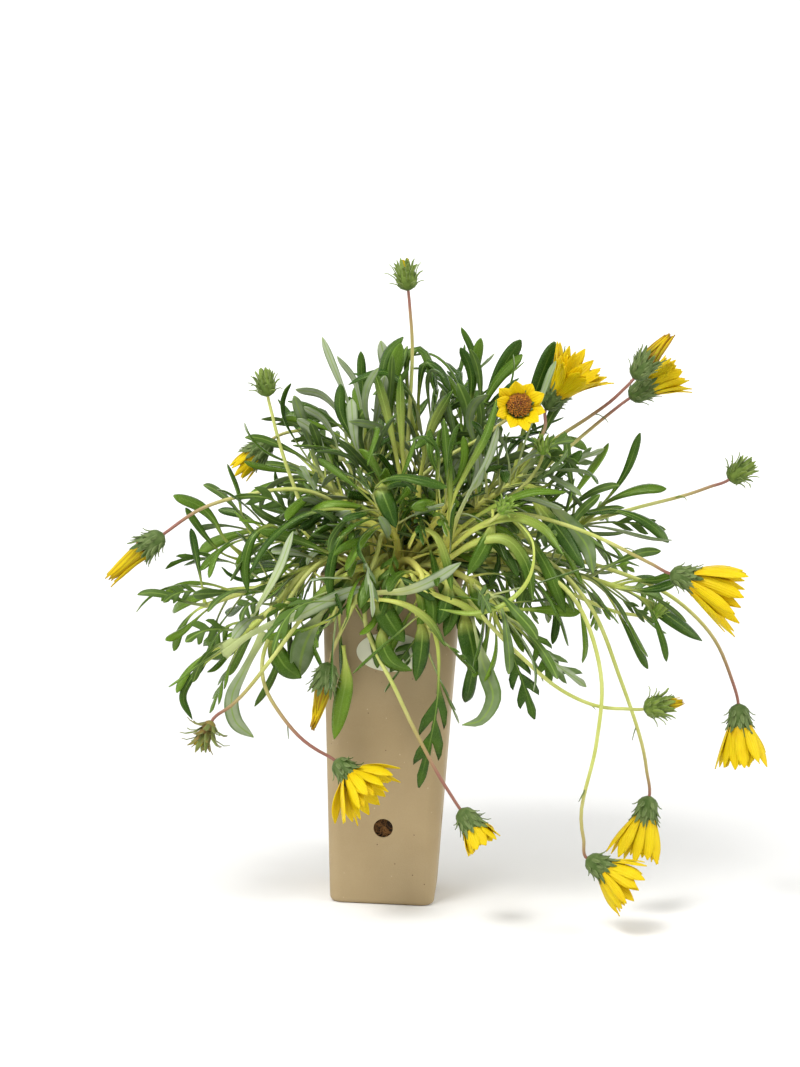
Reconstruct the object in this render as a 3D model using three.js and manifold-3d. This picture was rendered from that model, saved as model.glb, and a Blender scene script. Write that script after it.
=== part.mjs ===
// A trailing gazania in a tall square pot: leafy shoots and flower stalks that rise from the soil,
// arch over the rim and hang at different heights, with yellow heads from tight bud to open.
// Millimetres, +Z up. The origin is the middle of the pot's underside and -Y is the front.
import * as THREE from "three";
import { mergeVertices } from "three/addons/utils/BufferGeometryUtils.js";
import Module from "manifold-3d";

const wasm = await Module();
wasm.setup();

// ---------------------------------------------------------------- driving dimensions
const CLEARANCE = 0.3; // between pieces that touch on the real plant
const POT = {
  height: 166,
  baseHalf: 26,
  rimHalf: 34,
  wall: 1.4,
  floor: 2,
  baseCorner: 6,
  rimCorner: 9,
  footRound: 2.4,
  lip: 1.0,
  lipDepth: 5,
};
const SIDE_HOLE = { radius: 4.8, height: 39.5 };
const FLOOR_HOLE = { radius: 3.5, offset: 13 };
const LABEL = { halfWidth: 17, halfHeight: 9.8, thickness: 0.6, height: 129, x: 1.5 };
const SOIL = { top: 161, crown: 1.6, holeDepth: 7, holeRadius: 22 };
const CUP = { length: 12, radius: 6.2, bracts: 6 };
const STALK = { foot: 1.5, head: 0.95, sides: 4 };
const SHOOT = { foot: 2.0, tip: 1.3, sides: 4, firstLeaf: 0.38 };
const LEAF = {
  steps: 12,
  keel: 0.95,
  potClearance: 4,
  width: [4.4, 2.6], // least, and how much more at most
  length: [0.8, 0.45], // as shares of the shoot's leaf length
  droop: [-0.15, 1.9], // how far the tip sinks, as a share of the length
  sway: 1.6, // radians that a blade bends sideways in all, either way by half
  twist: 1.5, // radians that it turns about its own line
  roll: 60, // degrees that its face is turned at the foot
  openAtFoot: 78, // degrees between the stem and a leaf low on it
  openAtTip: 28,
  openSpread: 26,
  lobedShare: 0.24,
};
const RAY = { width: 5.4, footWidth: 1.8, widestAt: 0.6, keel: 0.8, core: 1.6, coreRadius: 5.2 };
const GOLDEN_ANGLE = Math.PI * (3 - Math.sqrt(5));

const COLOURS = {
  pot: [0xb49c72, 0.75],
  soil: [0x2e231a, 0.95],
  label: [0xe2e2c8, 0.6],
  stalk: [0x9aa552, 0.55],
  leaf: [0x3d6a2c, 0.6],
  ray: [0xf2c500, 0.5],
  disc: [0x8a4310, 0.8],
};

// Flower stalks. The route runs from above the soil to the foot of the head, and faces is the way
// that the head points. A head with no rays is a bud or a withered head.
const FLOWERS = [
  {
    name: "top_bud", head: "bud", faces: [-0.16, 0, 0.99],
    route: [[2, 0, 185], [4, 2, 215], [5, 6, 250], [5, 9, 278], [2, 10, 305]],
  },
  {
    name: "left_bud", head: "bud", faces: [-0.19, 0, 0.98],
    route: [[-22, -3, 179], [-43, -10, 192], [-52, -9, 210], [-59, -8, 229], [-65, -8, 251]],
  },
  {
    name: "left_back", head: "cup", faces: [-0.73, -0.04, -0.68], rays: 8, spread: 8, rayLength: 15,
    route: [[-11, 7, 189], [-27, 15, 217], [-43, 20, 231], [-55, 22, 231], [-66, 21, 226]],
  },
  {
    name: "far_left", head: "cup", faces: [-0.79, -0.1, -0.6], rays: 11, spread: 3, rayLength: 19,
    route: [[-14, -9, 180], [-28, -19, 199], [-46, -28, 207], [-72, -35, 204], [-93, -40, 197],
      [-111, -42, 184]],
  },
  {
    name: "facing", head: "cup", faces: [0.12, -0.93, 0.35], rays: 10, spread: 38, rayLength: 11.5,
    disc: true,
    route: [[3, -6, 182], [7, -9, 206], [22, -12, 222], [42, -17, 235], [58, -22, 248]],
  },
  {
    name: "top_right", head: "cup", faces: [0.53, -0.25, 0.81], rays: 13, spread: 40, rayLength: 21,
    route: [[23, 3, 182], [43, 4, 200], [60, 5, 218], [69, 8, 230], [73, 11, 240], [73, 13, 248]],
  },
  {
    name: "high_right", head: "cup", faces: [0.57, 0.11, 0.81], rays: 11, spread: 3, rayLength: 16,
    route: [[23, 6, 184], [51, 10, 211], [74, 12, 230], [95, 11, 245], [106, 9, 254], [116, 8, 265]],
  },
  {
    name: "high_right_low", head: "cup", faces: [0.82, 0.06, 0.57], rays: 12, spread: 18, rayLength: 19,
    route: [[28, 2, 181], [52, 3, 200], [75, 8, 220], [92, 16, 235], [105, 22, 246], [115, 24, 254]],
  },
  {
    name: "far_right_bud", head: "bud", faces: [0.76, 0.25, 0.6],
    route: [[29, 9, 173], [52, 11, 180], [77, 16, 186], [102, 20, 193], [122, 23, 199], [147, 28, 206],
      [167, 30, 214]],
  },
  {
    name: "right", head: "cup", faces: [0.98, -0.01, -0.21], rays: 13, spread: 18, rayLength: 26,
    route: [[25, -12, 178], [43, -20, 193], [62, -29, 199], [82, -35, 196], [101, -38, 190],
      [121, -39, 181], [136, -39, 174]],
  },
  {
    name: "right_hanging", head: "cup", faces: [0.11, -0.06, -0.99], rays: 12, spread: 24, rayLength: 20,
    route: [[28, 2, 171], [50, 0, 176], [78, -1, 176], [108, -3, 170], [133, -5, 161], [148, -6, 151],
      [161, -7, 137], [170, -6, 118], [174, -6, 105]],
  },
  {
    name: "low_bud", head: "bud", faces: [0.97, -0.06, 0.25],
    route: [[14, -25, 171], [26, -37, 171], [37, -45, 160], [50, -50, 147], [65, -52, 133],
      [85, -50, 117], [104, -47, 109], [126, -43, 108]],
  },
  {
    name: "hanging_inner", head: "cup", faces: [-0.15, -0.07, -0.99], rays: 12, spread: 23, rayLength: 20,
    route: [[25, -7, 175], [50, -17, 183], [75, -25, 177], [98, -29, 155], [114, -29, 120],
      [127, -26, 84], [131, -23, 60]],
  },
  {
    name: "lowest", head: "cup", faces: [0.87, -0.09, -0.48], rays: 12, spread: 34, rayLength: 21,
    route: [[21, -17, 174], [45, -24, 181], [66, -31, 176], [90, -41, 160], [104, -49, 125],
      [103, -55, 92], [97, -59, 58], [101, -57, 36]],
  },
  {
    name: "front_right", head: "cup", faces: [0.62, -0.14, -0.77], rays: 11, spread: 16, rayLength: 13,
    route: [[-3, -21, 175], [-8, -38, 171], [-11, -47, 148], [-5, -50, 132], [4, -54, 117],
      [15, -56, 96], [28, -59, 74], [39, -60, 58]],
  },
  {
    name: "front_left", head: "cup", faces: [0.76, -0.25, -0.6], rays: 13, spread: 46, rayLength: 18,
    route: [[-15, -17, 177], [-36, -34, 171], [-54, -43, 144], [-60, -49, 126], [-58, -55, 114],
      [-50, -60, 102], [-38, -64, 90], [-22, -63, 80]],
  },
  {
    name: "drooping", head: "cup", faces: [-0.22, -0.07, -0.97], rays: 10, spread: -3, rayLength: 20,
    route: [[-2, -14, 181], [-5, -24, 186], [-7, -38, 177], [-14, -48, 160], [-20, -52, 146],
      [-25, -54, 134], [-27, -54, 126]],
  },
  {
    name: "withered", head: "withered", faces: [-0.39, -0.15, -0.91],
    route: [[-10, -18, 173], [-25, -38, 168], [-42, -50, 146], [-56, -57, 126], [-69, -60, 109],
      [-83, -59, 96]],
  },
  {
    name: "small_top_bud", head: "small_bud", faces: [0.01, -0.58, 0.82],
    route: [[23, -11, 183], [47, -13, 197], [65, -18, 214], [70, -21, 222], [72, -24, 229]],
  },
  {
    name: "small_right_bud", head: "small_bud", faces: [0.54, -0.25, 0.8],
    route: [[28, -13, 168], [48, -15, 171], [70, -16, 167], [90, -19, 159], [112, -18, 151],
      [130, -13, 149]],
  },
  {
    name: "small_centre_bud", head: "small_bud", faces: [0.47, -0.58, 0.67],
    route: [[16, -17, 178], [28, -26, 184], [38, -36, 191], [48, -45, 197], [53, -48, 202]],
  },
];

// Leafy shoots. The leaves stand on the outer half of each route and point about its end.
const SHOOTS = [
  { name: "up_left", leaves: 10, length: 56, route: [[-6, 4, 187], [-17, 6, 226]] },
  { name: "up_centre", leaves: 10, length: 54, route: [[9, 13, 190], [14, 22, 232]] },
  { name: "up_right", leaves: 10, length: 54, route: [[20, 11, 193], [38, 17, 235]] },
  { name: "right_up", leaves: 10, length: 48, route: [[27, -2, 186], [64, -4, 217]] },
  { name: "right", leaves: 10, length: 48, route: [[32, 5, 176], [60, 7, 183], [92, 11, 190]] },
  {
    name: "far_right", leaves: 10, length: 42,
    route: [[30, -9, 171], [60, -8, 173], [90, -9, 168], [116, -9, 161]],
  },
  { name: "right_low", leaves: 10, length: 46, route: [[18, -23, 171], [38, -36, 167], [57, -43, 150]] },
  {
    name: "front_low", leaves: 9, length: 46,
    route: [[5, -22, 173], [14, -38, 171], [20, -47, 152], [19, -49, 132]],
  },
  {
    name: "front_low_left", leaves: 10, length: 44,
    route: [[-9, -23, 170], [-17, -39, 168], [-27, -48, 146]],
  },
  {
    name: "left_low", leaves: 10, length: 44,
    route: [[-22, -17, 172], [-40, -28, 168], [-61, -38, 145], [-80, -44, 130]],
  },
  {
    name: "far_left", leaves: 10, length: 40,
    route: [[-26, -13, 172], [-59, -26, 160], [-92, -31, 148]],
  },
  { name: "left", leaves: 9, length: 44, route: [[-24, -9, 178], [-51, -16, 180], [-71, -20, 184]] },
  { name: "left_up", leaves: 10, length: 48, route: [[-16, 0, 186], [-42, 6, 214]] },
  { name: "front_up_left", leaves: 10, length: 44, route: [[2, -18, 181], [-4, -40, 199]] },
  { name: "front_up_right", leaves: 10, length: 46, route: [[14, -15, 182], [27, -36, 204]] },
  { name: "back_left", leaves: 9, length: 48, route: [[-12, 16, 182], [-34, 44, 200]] },
  { name: "back", leaves: 9, length: 50, route: [[2, 20, 184], [6, 50, 208]] },
  { name: "back_right", leaves: 9, length: 50, route: [[17, 19, 181], [48, 44, 203]] },
  {
    name: "back_low_left", leaves: 9, length: 44,
    route: [[-14, 22, 172], [-34, 46, 168], [-50, 60, 154]],
  },
  {
    name: "back_low_right", leaves: 9, length: 44,
    route: [[16, 24, 172], [40, 46, 168], [60, 58, 156]],
  },
];

// ---------------------------------------------------------------- helpers
const v = (x, y, z) => new THREE.Vector3(x, y, z);

// Park-Miller random numbers: the same seed places the same leaves on every build.
const randomFrom = (seed) => () => (seed = (seed * 16807) % 2147483647) / 2147483647;

// Closed surface through rings of points; a ring of one point is a tip.
function skin(rings) {
  const position = rings.flatMap((ring) => ring.flatMap((p) => [p.x, p.y, p.z]));
  const index = [];
  let start = 0;
  rings.slice(1).forEach((next, i) => {
    const ring = rings[i];
    const n = Math.max(ring.length, next.length);
    const a = (j) => start + (ring.length > 1 ? j % n : 0);
    const b = (j) => start + ring.length + (next.length > 1 ? j % n : 0);
    for (let j = 0; j < n; j++) {
      if (ring.length > 1) index.push(a(j), a(j + 1), b(j + 1));
      if (next.length > 1) index.push(a(j), b(j + 1), b(j));
    }
    start += ring.length;
  });
  const last = rings.at(-1);
  for (let j = 1; j < rings[0].length - 1; j++) index.push(0, j + 1, j);
  for (let j = 1; j < last.length - 1; j++) index.push(start, start + j, start + j + 1);
  const geometry = new THREE.BufferGeometry();
  geometry.setAttribute("position", new THREE.Float32BufferAttribute(position, 3));
  geometry.setIndex(index);
  return geometry;
}

// A three.js geometry as a manifold solid, turned right side out.
function solid(geometry) {
  const bare = geometry.clone();
  for (const name of ["normal", "uv"]) bare.deleteAttribute(name);
  const merged = mergeVertices(bare, 1e-4);
  const triVerts = new Uint32Array(merged.index.array);
  const made = (tris) =>
    new wasm.Manifold(
      new wasm.Mesh({ numProp: 3, vertProperties: merged.attributes.position.array, triVerts: tris }),
    );
  const first = made(triVerts);
  if (first.volume() > 0) return first;
  return made(triVerts.map((_, i) => triVerts[i - (i % 3) + (3 - (i % 3)) % 3]));
}

// Fuses solids, and keeps the one body: scraps go and sealed hollows are filled.
function fuse(solids) {
  const bodies = wasm.Manifold.union(solids).simplify(0.1).decompose();
  return bodies.reduce((best, body) => (body.volume() > best.volume() ? body : best));
}

function mesh(name, body, [colour, roughness]) {
  const { vertProperties, triVerts } = body.getMesh();
  const geometry = new THREE.BufferGeometry();
  geometry.setAttribute("position", new THREE.BufferAttribute(vertProperties, 3));
  geometry.setIndex(new THREE.BufferAttribute(triVerts, 1));
  geometry.computeVertexNormals();
  const made = new THREE.Mesh(
    geometry,
    new THREE.MeshStandardMaterial({ color: colour, roughness, metalness: 0 }),
  );
  made.name = name;
  return made;
}

// Points spaced evenly along a smooth curve through the route.
function along(route, count) {
  return new THREE.CatmullRomCurve3(route, false, "centripetal").getSpacedPoints(count);
}

// A tapering stem with a round section.
function stem(points, footRadius, tipRadius, sides) {
  let side = v(1, 0.3, 0.1);
  const rings = points.map((p, i) => {
    const way = points[Math.min(i + 1, points.length - 1)].clone()
      .sub(points[Math.max(i - 1, 0)]).normalize();
    side = side.clone().addScaledVector(way, -side.dot(way)).normalize();
    const other = way.clone().cross(side);
    const radius = THREE.MathUtils.lerp(footRadius, tipRadius, i / (points.length - 1));
    return Array.from({ length: sides }, (_, k) => {
      const turn = (k / sides) * 2 * Math.PI;
      return p.clone()
        .addScaledVector(side, radius * Math.cos(turn))
        .addScaledVector(other, radius * Math.sin(turn));
    });
  });
  return solid(skin(rings));
}

// ---------------------------------------------------------------- the pot, its label and the soil
const potHalf = (z) => THREE.MathUtils.lerp(POT.baseHalf, POT.rimHalf, z / POT.height);
const potCorner = (z) => THREE.MathUtils.lerp(POT.baseCorner, POT.rimCorner, z / POT.height);
const wallLean = Math.atan((POT.rimHalf - POT.baseHalf) / POT.height);

function roundedSquare(half, corner, z, perCorner = 4) {
  const ring = [];
  for (let quarter = 0; quarter < 4; quarter++) {
    const middle = ((quarter + 0.5) * Math.PI) / 2;
    const cx = Math.sign(Math.cos(middle)) * (half - corner);
    const cy = Math.sign(Math.sin(middle)) * (half - corner);
    for (let k = 0; k < perCorner; k++) {
      const turn = (quarter + k / (perCorner - 1)) * (Math.PI / 2);
      ring.push(v(cx + corner * Math.cos(turn), cy + corner * Math.sin(turn), z));
    }
  }
  return ring;
}

function roundHole(radius, length, x, y, z, axis) {
  const drill = new THREE.CylinderGeometry(radius, radius, length, 12);
  if (axis === "x") drill.rotateZ(Math.PI / 2);
  if (axis === "z") drill.rotateX(Math.PI / 2);
  return solid(drill.translate(x, y, z));
}

function pot() {
  const outer = (z, grow = 0) => roundedSquare(potHalf(z) + grow, potCorner(z) + grow, z);
  const foot = POT.footRound;
  const lipFoot = POT.height - POT.lipDepth;
  const shell = solid(skin([
    roundedSquare(POT.baseHalf - foot, POT.baseCorner - foot * 0.6, 0),
    roundedSquare(POT.baseHalf - foot * 0.3, POT.baseCorner - foot * 0.2, foot * 0.3),
    outer(foot),
    outer(lipFoot),
    outer(lipFoot + POT.lip, POT.lip),
    outer(POT.height, POT.lip),
    outer(POT.height, -POT.wall),
    outer(POT.floor, -POT.wall),
  ]));
  const o = FLOOR_HOLE.offset;
  const holes = [
    roundHole(SIDE_HOLE.radius, 2 * POT.rimHalf, 0, 0, SIDE_HOLE.height, "y"),
    roundHole(SIDE_HOLE.radius, 2 * POT.rimHalf, 0, 0, SIDE_HOLE.height, "x"),
    ...[[-o, -o], [o, -o], [o, o], [-o, o]].map(([x, y]) =>
      roundHole(FLOOR_HOLE.radius, 3 * POT.floor, x, y, 0, "z")),
  ];
  return shell.subtract(wasm.Manifold.union(holes));
}

// An oval sticker on the front wall, left blank.
function label() {
  const oval = new THREE.Shape().absellipse(0, 0, LABEL.halfWidth, LABEL.halfHeight, 0, 2 * Math.PI);
  const sticker = new THREE.ExtrudeGeometry(oval, {
    depth: LABEL.thickness,
    bevelEnabled: false,
    curveSegments: 12,
  });
  const front = potHalf(LABEL.height) + CLEARANCE;
  sticker.rotateX(Math.PI / 2 + wallLean);
  return solid(sticker.translate(LABEL.x, -front, LABEL.height));
}

function soil(stems) {
  const fit = (z, share = 1) => {
    const half = potHalf(z) - POT.wall - CLEARANCE;
    return roundedSquare(half * share, (potCorner(z) - POT.wall) * share, z, 3);
  };
  const lifted = (ring, lift) => ring.map((p) => p.clone().setZ(p.z + lift));
  const block = solid(skin([
    fit(POT.floor + CLEARANCE),
    fit(SOIL.top),
    lifted(fit(SOIL.top, 0.8), SOIL.crown),
    [v(0, 0, SOIL.top + SOIL.crown)],
  ]));
  const holes = stems.map(({ line: [bottom, mouth], foot, sides }) => {
    const radius = foot + 1.25 * CLEARANCE;
    const deeper = bottom.clone().setZ(bottom.z - CLEARANCE);
    return stem([deeper, mouth], radius, radius, sides);
  });
  return block.subtract(wasm.Manifold.union(holes));
}

// ---------------------------------------------------------------- stems
// The stems stand in holes spread over the soil like seeds in a disc. The holes are shared out so
// that each stem rises on the side that it leans to, and no two change places to gain by it.
function shareHoles(plans) {
  const holes = plans.map((_, k) => {
    const radius = SOIL.holeRadius * Math.sqrt((k + 0.5) / plans.length);
    return v(radius * Math.cos(k * GOLDEN_ANGLE), radius * Math.sin(k * GOLDEN_ANGLE), SOIL.top);
  });
  const wishes = plans.map(({ route: [[x, y]] }) =>
    v(x, y, 0).clampLength(0, SOIL.holeRadius + 6).setZ(SOIL.top));
  const cost = (i, hole) => wishes[i].distanceToSquared(hole);
  for (let changed = true; changed;) {
    changed = false;
    for (let i = 0; i < plans.length; i++)
      for (let j = i + 1; j < plans.length; j++) {
        const [a, b] = [holes[i], holes[j]];
        if (cost(i, b) + cost(j, a) >= cost(i, a) + cost(j, b) - 1e-6) continue;
        [holes[i], holes[j]] = [b, a];
        changed = true;
      }
  }
  return holes;
}

// The line of a stem: straight up out of its hole, then smoothly along the given points.
function stemLine(hole, route, pieces) {
  const bottom = hole.clone().setZ(SOIL.top - SOIL.holeDepth);
  const mouth = hole.clone().setZ(SOIL.top + SOIL.crown + 1);
  return [bottom, ...along([mouth, ...route.map((p) => v(...p))], pieces)];
}

// ---------------------------------------------------------------- flower heads
// Heads are made pointing up +Z with the foot at the origin, then turned onto their stalk.
function lathe(profile, sides) {
  const outline = profile.map(([radius, height]) => new THREE.Vector2(radius, height));
  return solid(new THREE.LatheGeometry(outline, sides).rotateX(Math.PI / 2));
}

// Bracts fused below into a cup and free at their tips. Each level gives the radius and height in
// the middle of a bract, and between two bracts where that differs.
function bractCup(count, levels) {
  const ring = ([r, z, rBetween = r, zBetween = z]) =>
    Array.from({ length: 2 * count }, (_, k) => {
      const turn = (k / count) * Math.PI;
      const [radius, height] = k % 2 ? [rBetween, zBetween] : [r, z];
      return v(radius * Math.cos(turn), radius * Math.sin(turn), height);
    });
  return solid(skin(levels.map((level) => (level[0] ? ring(level) : [v(0, 0, level[1])]))));
}

const { length: cupLength, radius: cupRadius } = CUP;
const HEADS = {
  cup: () => bractCup(CUP.bracts, [
    [0, 0], [4.5, 2.4], [cupRadius, 7], [cupRadius + 2.6, cupLength + 3.2, cupRadius, cupLength - 2],
    [5.6, cupLength],
  ]),
  bud: () => bractCup(6, [
    [0, 0], [4.4, 2.4], [8.4, 9.5, 5.4, 6], [4.9, 7, 5.2, 8], [3.4, 11, 5.6, 15.5], [2.6, 12.6], [0, 15],
  ]),
  small_bud: () => bractCup(5, [
    [0, 0], [3, 2], [5.6, 8, 3.6, 4.6], [2.8, 6], [0, 9],
  ]),
  withered: () => bractCup(6, [
    [0, 0], [3.2, 2.6], [9.2, 10.5, 3.6, 6], [2.8, 7.4, 3, 8.5], [1.8, 9.5, 5.2, 16.5], [0, 10],
  ]),
};

// Ray florets: long yellow blades in a ring that opens by the spread angle, on a short core.
function rays({ rays: count, spread, rayLength }) {
  const foot = cupLength + CLEARANCE;
  const core = [
    [0, foot], [RAY.coreRadius, foot], [RAY.coreRadius, foot + RAY.core], [0, foot + RAY.core],
  ];
  const open = THREE.MathUtils.degToRad(spread);
  const narrowing = THREE.MathUtils.clamp(spread / 20, 0.55, 1);
  const blades = Array.from({ length: count }, (_, k) => {
    const turn = (k / count) * 2 * Math.PI;
    const ahead = v(Math.cos(turn), Math.sin(turn), 0);
    const aside = v(-Math.sin(turn), Math.cos(turn), 0);
    const footRadius = RAY.coreRadius - (k % 2 ? 1.7 : 1.2);
    const place = (share, side, lift) => {
      const run = share * rayLength;
      const lean = open * (0.7 + 0.3 * share);
      const radius = footRadius + run * Math.sin(lean) + lift * Math.cos(lean);
      const height = foot + 0.4 + run * Math.cos(lean) - lift * Math.sin(lean);
      return v(0, 0, height).addScaledVector(ahead, radius).addScaledVector(aside, side);
    };
    const ring = (share, width) =>
      [place(share, -width / 2, 0), place(share, width / 2, 0), place(share, 0, RAY.keel)];
    return solid(skin([
      ring(0, RAY.footWidth),
      ring(RAY.widestAt, RAY.width * narrowing),
      [place(1, 0, 0)],
    ]));
  });
  return fuse([lathe(core, 7), ...blades]);
}

// The brown middle of an open head, a low dome on the rays' core.
function openDisc() {
  const foot = cupLength + RAY.core + 2 * CLEARANCE;
  return lathe([[0, foot], [4.3, foot], [4.5, foot + 1], [2.8, foot + 2.2], [0, foot + 2.6]], 10);
}

// The matrix that puts a head made along +Z at the end of a stalk.
function headPlace(end, faces) {
  const turn = new THREE.Quaternion().setFromUnitVectors(v(0, 0, 1), v(...faces).normalize());
  return new THREE.Matrix4().compose(end, turn, v(1, 1, 1));
}

const placed = (body, matrix) => body.transform(matrix.elements);

// ---------------------------------------------------------------- leaves
// Outline stations: step along the leaf, half widths left and right as shares, and how many steps
// each edge point leans forward. The first is a plain spoon-shaped leaf, the second a lobed one.
const PLAIN = [
  [0, 0.3, 0.3, 0, 0],
  [5, 0.42, 0.42, 0, 0],
  [10, 1, 1, 0, 0],
  [12],
];
const LOBED = [
  [0, 0.3, 0.3, 0, 0],
  [4, 0.4, 0.4, 0, 0],
  [5, 1.9, 0.4, 1.7, 0],
  [7, 0.5, 1.9, 0, 1.3],
  [9, 0.9, 0.5, 0.6, 0],
  [12],
];

// A point that would lie in the pot's wall is moved out in front of it.
function keepOffPot(p) {
  const half = potHalf(THREE.MathUtils.clamp(p.z, 0, POT.height)) + LEAF.potClearance;
  const side = Math.max(Math.abs(p.x), Math.abs(p.y));
  if (p.z > POT.height + 3 || side > half || side < 24) return;
  if (Math.abs(p.x) > Math.abs(p.y)) p.x = Math.sign(p.x) * half;
  else p.y = Math.sign(p.y) * half;
}

// The line of a leaf: it leaves its foot along way, and droops, sways and twists as it goes.
function leafLine({ foot, way, face, length, droop, sway, twist }) {
  const point = foot.clone();
  const d = way.clone();
  let n = face.clone();
  const line = [];
  for (let step = 0; step <= LEAF.steps; step++) {
    n = n.clone().addScaledVector(d, -n.dot(d)).normalize().applyAxisAngle(d, twist / LEAF.steps);
    line.push({ point: point.clone(), way: d.clone(), face: n });
    const pull = (droop * (0.4 + (1.2 * step) / LEAF.steps)) / LEAF.steps;
    d.z -= pull;
    d.normalize().applyAxisAngle(n, sway / LEAF.steps);
    point.addScaledVector(d, length / LEAF.steps);
    keepOffPot(point);
  }
  return line;
}

function leafBlade(leaf) {
  const line = leafLine(leaf);
  const outline = leaf.lobed ? LOBED : PLAIN;
  const stepLength = leaf.length / LEAF.steps;
  const rings = outline.map(([step, left, right, forwardLeft, forwardRight]) => {
    const { point, way, face } = line[step];
    if (left === undefined) return [point];
    const across = way.clone().cross(face);
    const edge = (share, forward, side) =>
      point.clone()
        .addScaledVector(across, (side * share * leaf.width) / 2)
        .addScaledVector(way, forward * stepLength)
        .addScaledVector(face, 0.05 * share * leaf.width);
    const keel = point.clone().addScaledVector(face, -LEAF.keel);
    return [edge(left, forwardLeft, -1), edge(right, forwardRight, 1), keel];
  });
  return solid(skin(rings));
}

// Leaf number i of a shoot: golden angle round the stem, wide open at the foot and steep at the tip.
function leafPlan(shoot, points, i, random) {
  const share = i / shoot.leaves;
  const s = SHOOT.firstLeaf + (1 - SHOOT.firstLeaf) * Math.pow((i + 0.6) / shoot.leaves, 0.8);
  const at = s * (points.length - 1);
  const k = Math.min(Math.floor(at), points.length - 2);
  const foot = points[k].clone().lerp(points[k + 1], at - k);
  const axis = points[k + 1].clone().sub(points[k]).normalize();
  const side = v(0.31, 0.17, 0.93).cross(axis).normalize();
  const turn = i * GOLDEN_ANGLE + 0.9 * random();
  const out = side.applyAxisAngle(axis, turn);
  const open = THREE.MathUtils.degToRad(
    THREE.MathUtils.lerp(LEAF.openAtFoot, LEAF.openAtTip, share) + LEAF.openSpread * (random() - 0.5),
  );
  const way = axis.clone().multiplyScalar(Math.cos(open)).addScaledVector(out, Math.sin(open));
  way.z += 0.22;
  way.normalize();
  const some = ([least, more]) => least + more * random();
  const eitherWay = (range) => range * (random() - 0.5);
  const roll = THREE.MathUtils.degToRad(eitherWay(LEAF.roll));
  return {
    foot,
    way,
    face: axis.clone().addScaledVector(v(0, 0, 1), 0.6).normalize().applyAxisAngle(way, roll),
    length: shoot.length * some(LEAF.length) * (1 - 0.2 * share * share),
    width: some(LEAF.width),
    droop: some(LEAF.droop),
    sway: eitherWay(LEAF.sway),
    twist: eitherWay(LEAF.twist),
    lobed: random() < LEAF.lobedShare,
  };
}

// Small turns that are tried in order when a leaf would touch another piece.
const BENDS = [
  [0, 0], [9, 0], [-9, 0], [0, 9], [0, -9], [16, 8], [-16, 8], [16, -8], [-16, -8], [24, 0], [-24, 0],
  [0, 20], [0, -20],
];

function bentLeaf(plan, [sideways, up], shorter) {
  const across = plan.way.clone().cross(plan.face).normalize();
  const way = plan.way.clone()
    .applyAxisAngle(plan.face, THREE.MathUtils.degToRad(sideways))
    .applyAxisAngle(across, THREE.MathUtils.degToRad(up));
  return leafBlade({ ...plan, way, length: plan.length * shorter });
}

function boxesMeet(a, b) {
  return [0, 1, 2].every((k) => a.min[k] - 1 < b.max[k] && b.min[k] - 1 < a.max[k]);
}

function isClear(body, others) {
  const box = body.boundingBox();
  return others.every((other) => !boxesMeet(box, other.box) || body.minGap(other.body, 1) > CLEARANCE);
}

// A shoot's stem with its leaves, each bent clear of what stands there already.
function leafyShoot(shoot, points, others, random) {
  const ways = [1, 0.8].flatMap((shorter) => BENDS.map((bend) => [bend, shorter]));
  const blades = [];
  for (let i = 0; i < shoot.leaves; i++) {
    const plan = leafPlan(shoot, points, i, random);
    for (const [bend, shorter] of ways) {
      const blade = bentLeaf(plan, bend, shorter);
      if (!isClear(blade, others)) continue;
      blades.push(blade);
      break;
    }
  }
  return fuse([stem(points, SHOOT.foot, SHOOT.tip, SHOOT.sides), ...blades]);
}

// ---------------------------------------------------------------- assembly
const plant = new THREE.Group();
const standing = []; // what later pieces keep clear of
const remember = (body) => {
  standing.push({ body, box: body.boundingBox() });
  return body;
};
const add = (name, body, look) => plant.add(mesh(name, remember(body), look));

const holes = shareHoles([...FLOWERS, ...SHOOTS]);
const stalks = FLOWERS.map((plan, i) => ({
  plan,
  line: stemLine(holes[i], plan.route, 1 + Math.round(plan.route.length * 1.5)),
  foot: STALK.foot,
  sides: STALK.sides,
}));
const shoots = SHOOTS.map((plan, i) => ({
  plan,
  line: stemLine(holes[FLOWERS.length + i], plan.route, 1 + plan.route.length * 2),
  foot: SHOOT.foot,
  sides: SHOOT.sides,
}));

add("pot", pot(), COLOURS.pot);
add("label", label(), COLOURS.label);
add("soil", soil([...stalks, ...shoots]), COLOURS.soil);
for (const { plan, line } of stalks) {
  const end = line.at(-1);
  const place = headPlace(end, plan.faces);
  const points = [...line, end.clone().addScaledVector(v(...plan.faces), 1)];
  const body = fuse([
    stem(points, STALK.foot, STALK.head, STALK.sides),
    placed(HEADS[plan.head](), place),
  ]);
  add(`stalk_${plan.name}`, body, COLOURS.stalk);
  if (plan.rays) add(`rays_${plan.name}`, placed(rays(plan), place), COLOURS.ray);
  if (plan.disc) add(`disc_${plan.name}`, placed(openDisc(), place), COLOURS.disc);
}
const shootStems = shoots.map(({ line }) => {
  const body = stem(line, SHOOT.foot, SHOOT.tip, SHOOT.sides);
  return { body, box: body.boundingBox() };
});
shoots.forEach(({ plan, line }, i) => {
  const others = [...standing, ...shootStems.slice(i + 1)];
  const body = leafyShoot(plan, line, others, randomFrom(1000 + 37 * i));
  add(`shoot_${plan.name}`, body, COLOURS.leaf);
});

export default plant;
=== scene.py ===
import math

import bmesh
import bpy
import numpy as np
from mathutils import Matrix, Quaternion, Vector, kdtree, noise


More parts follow.
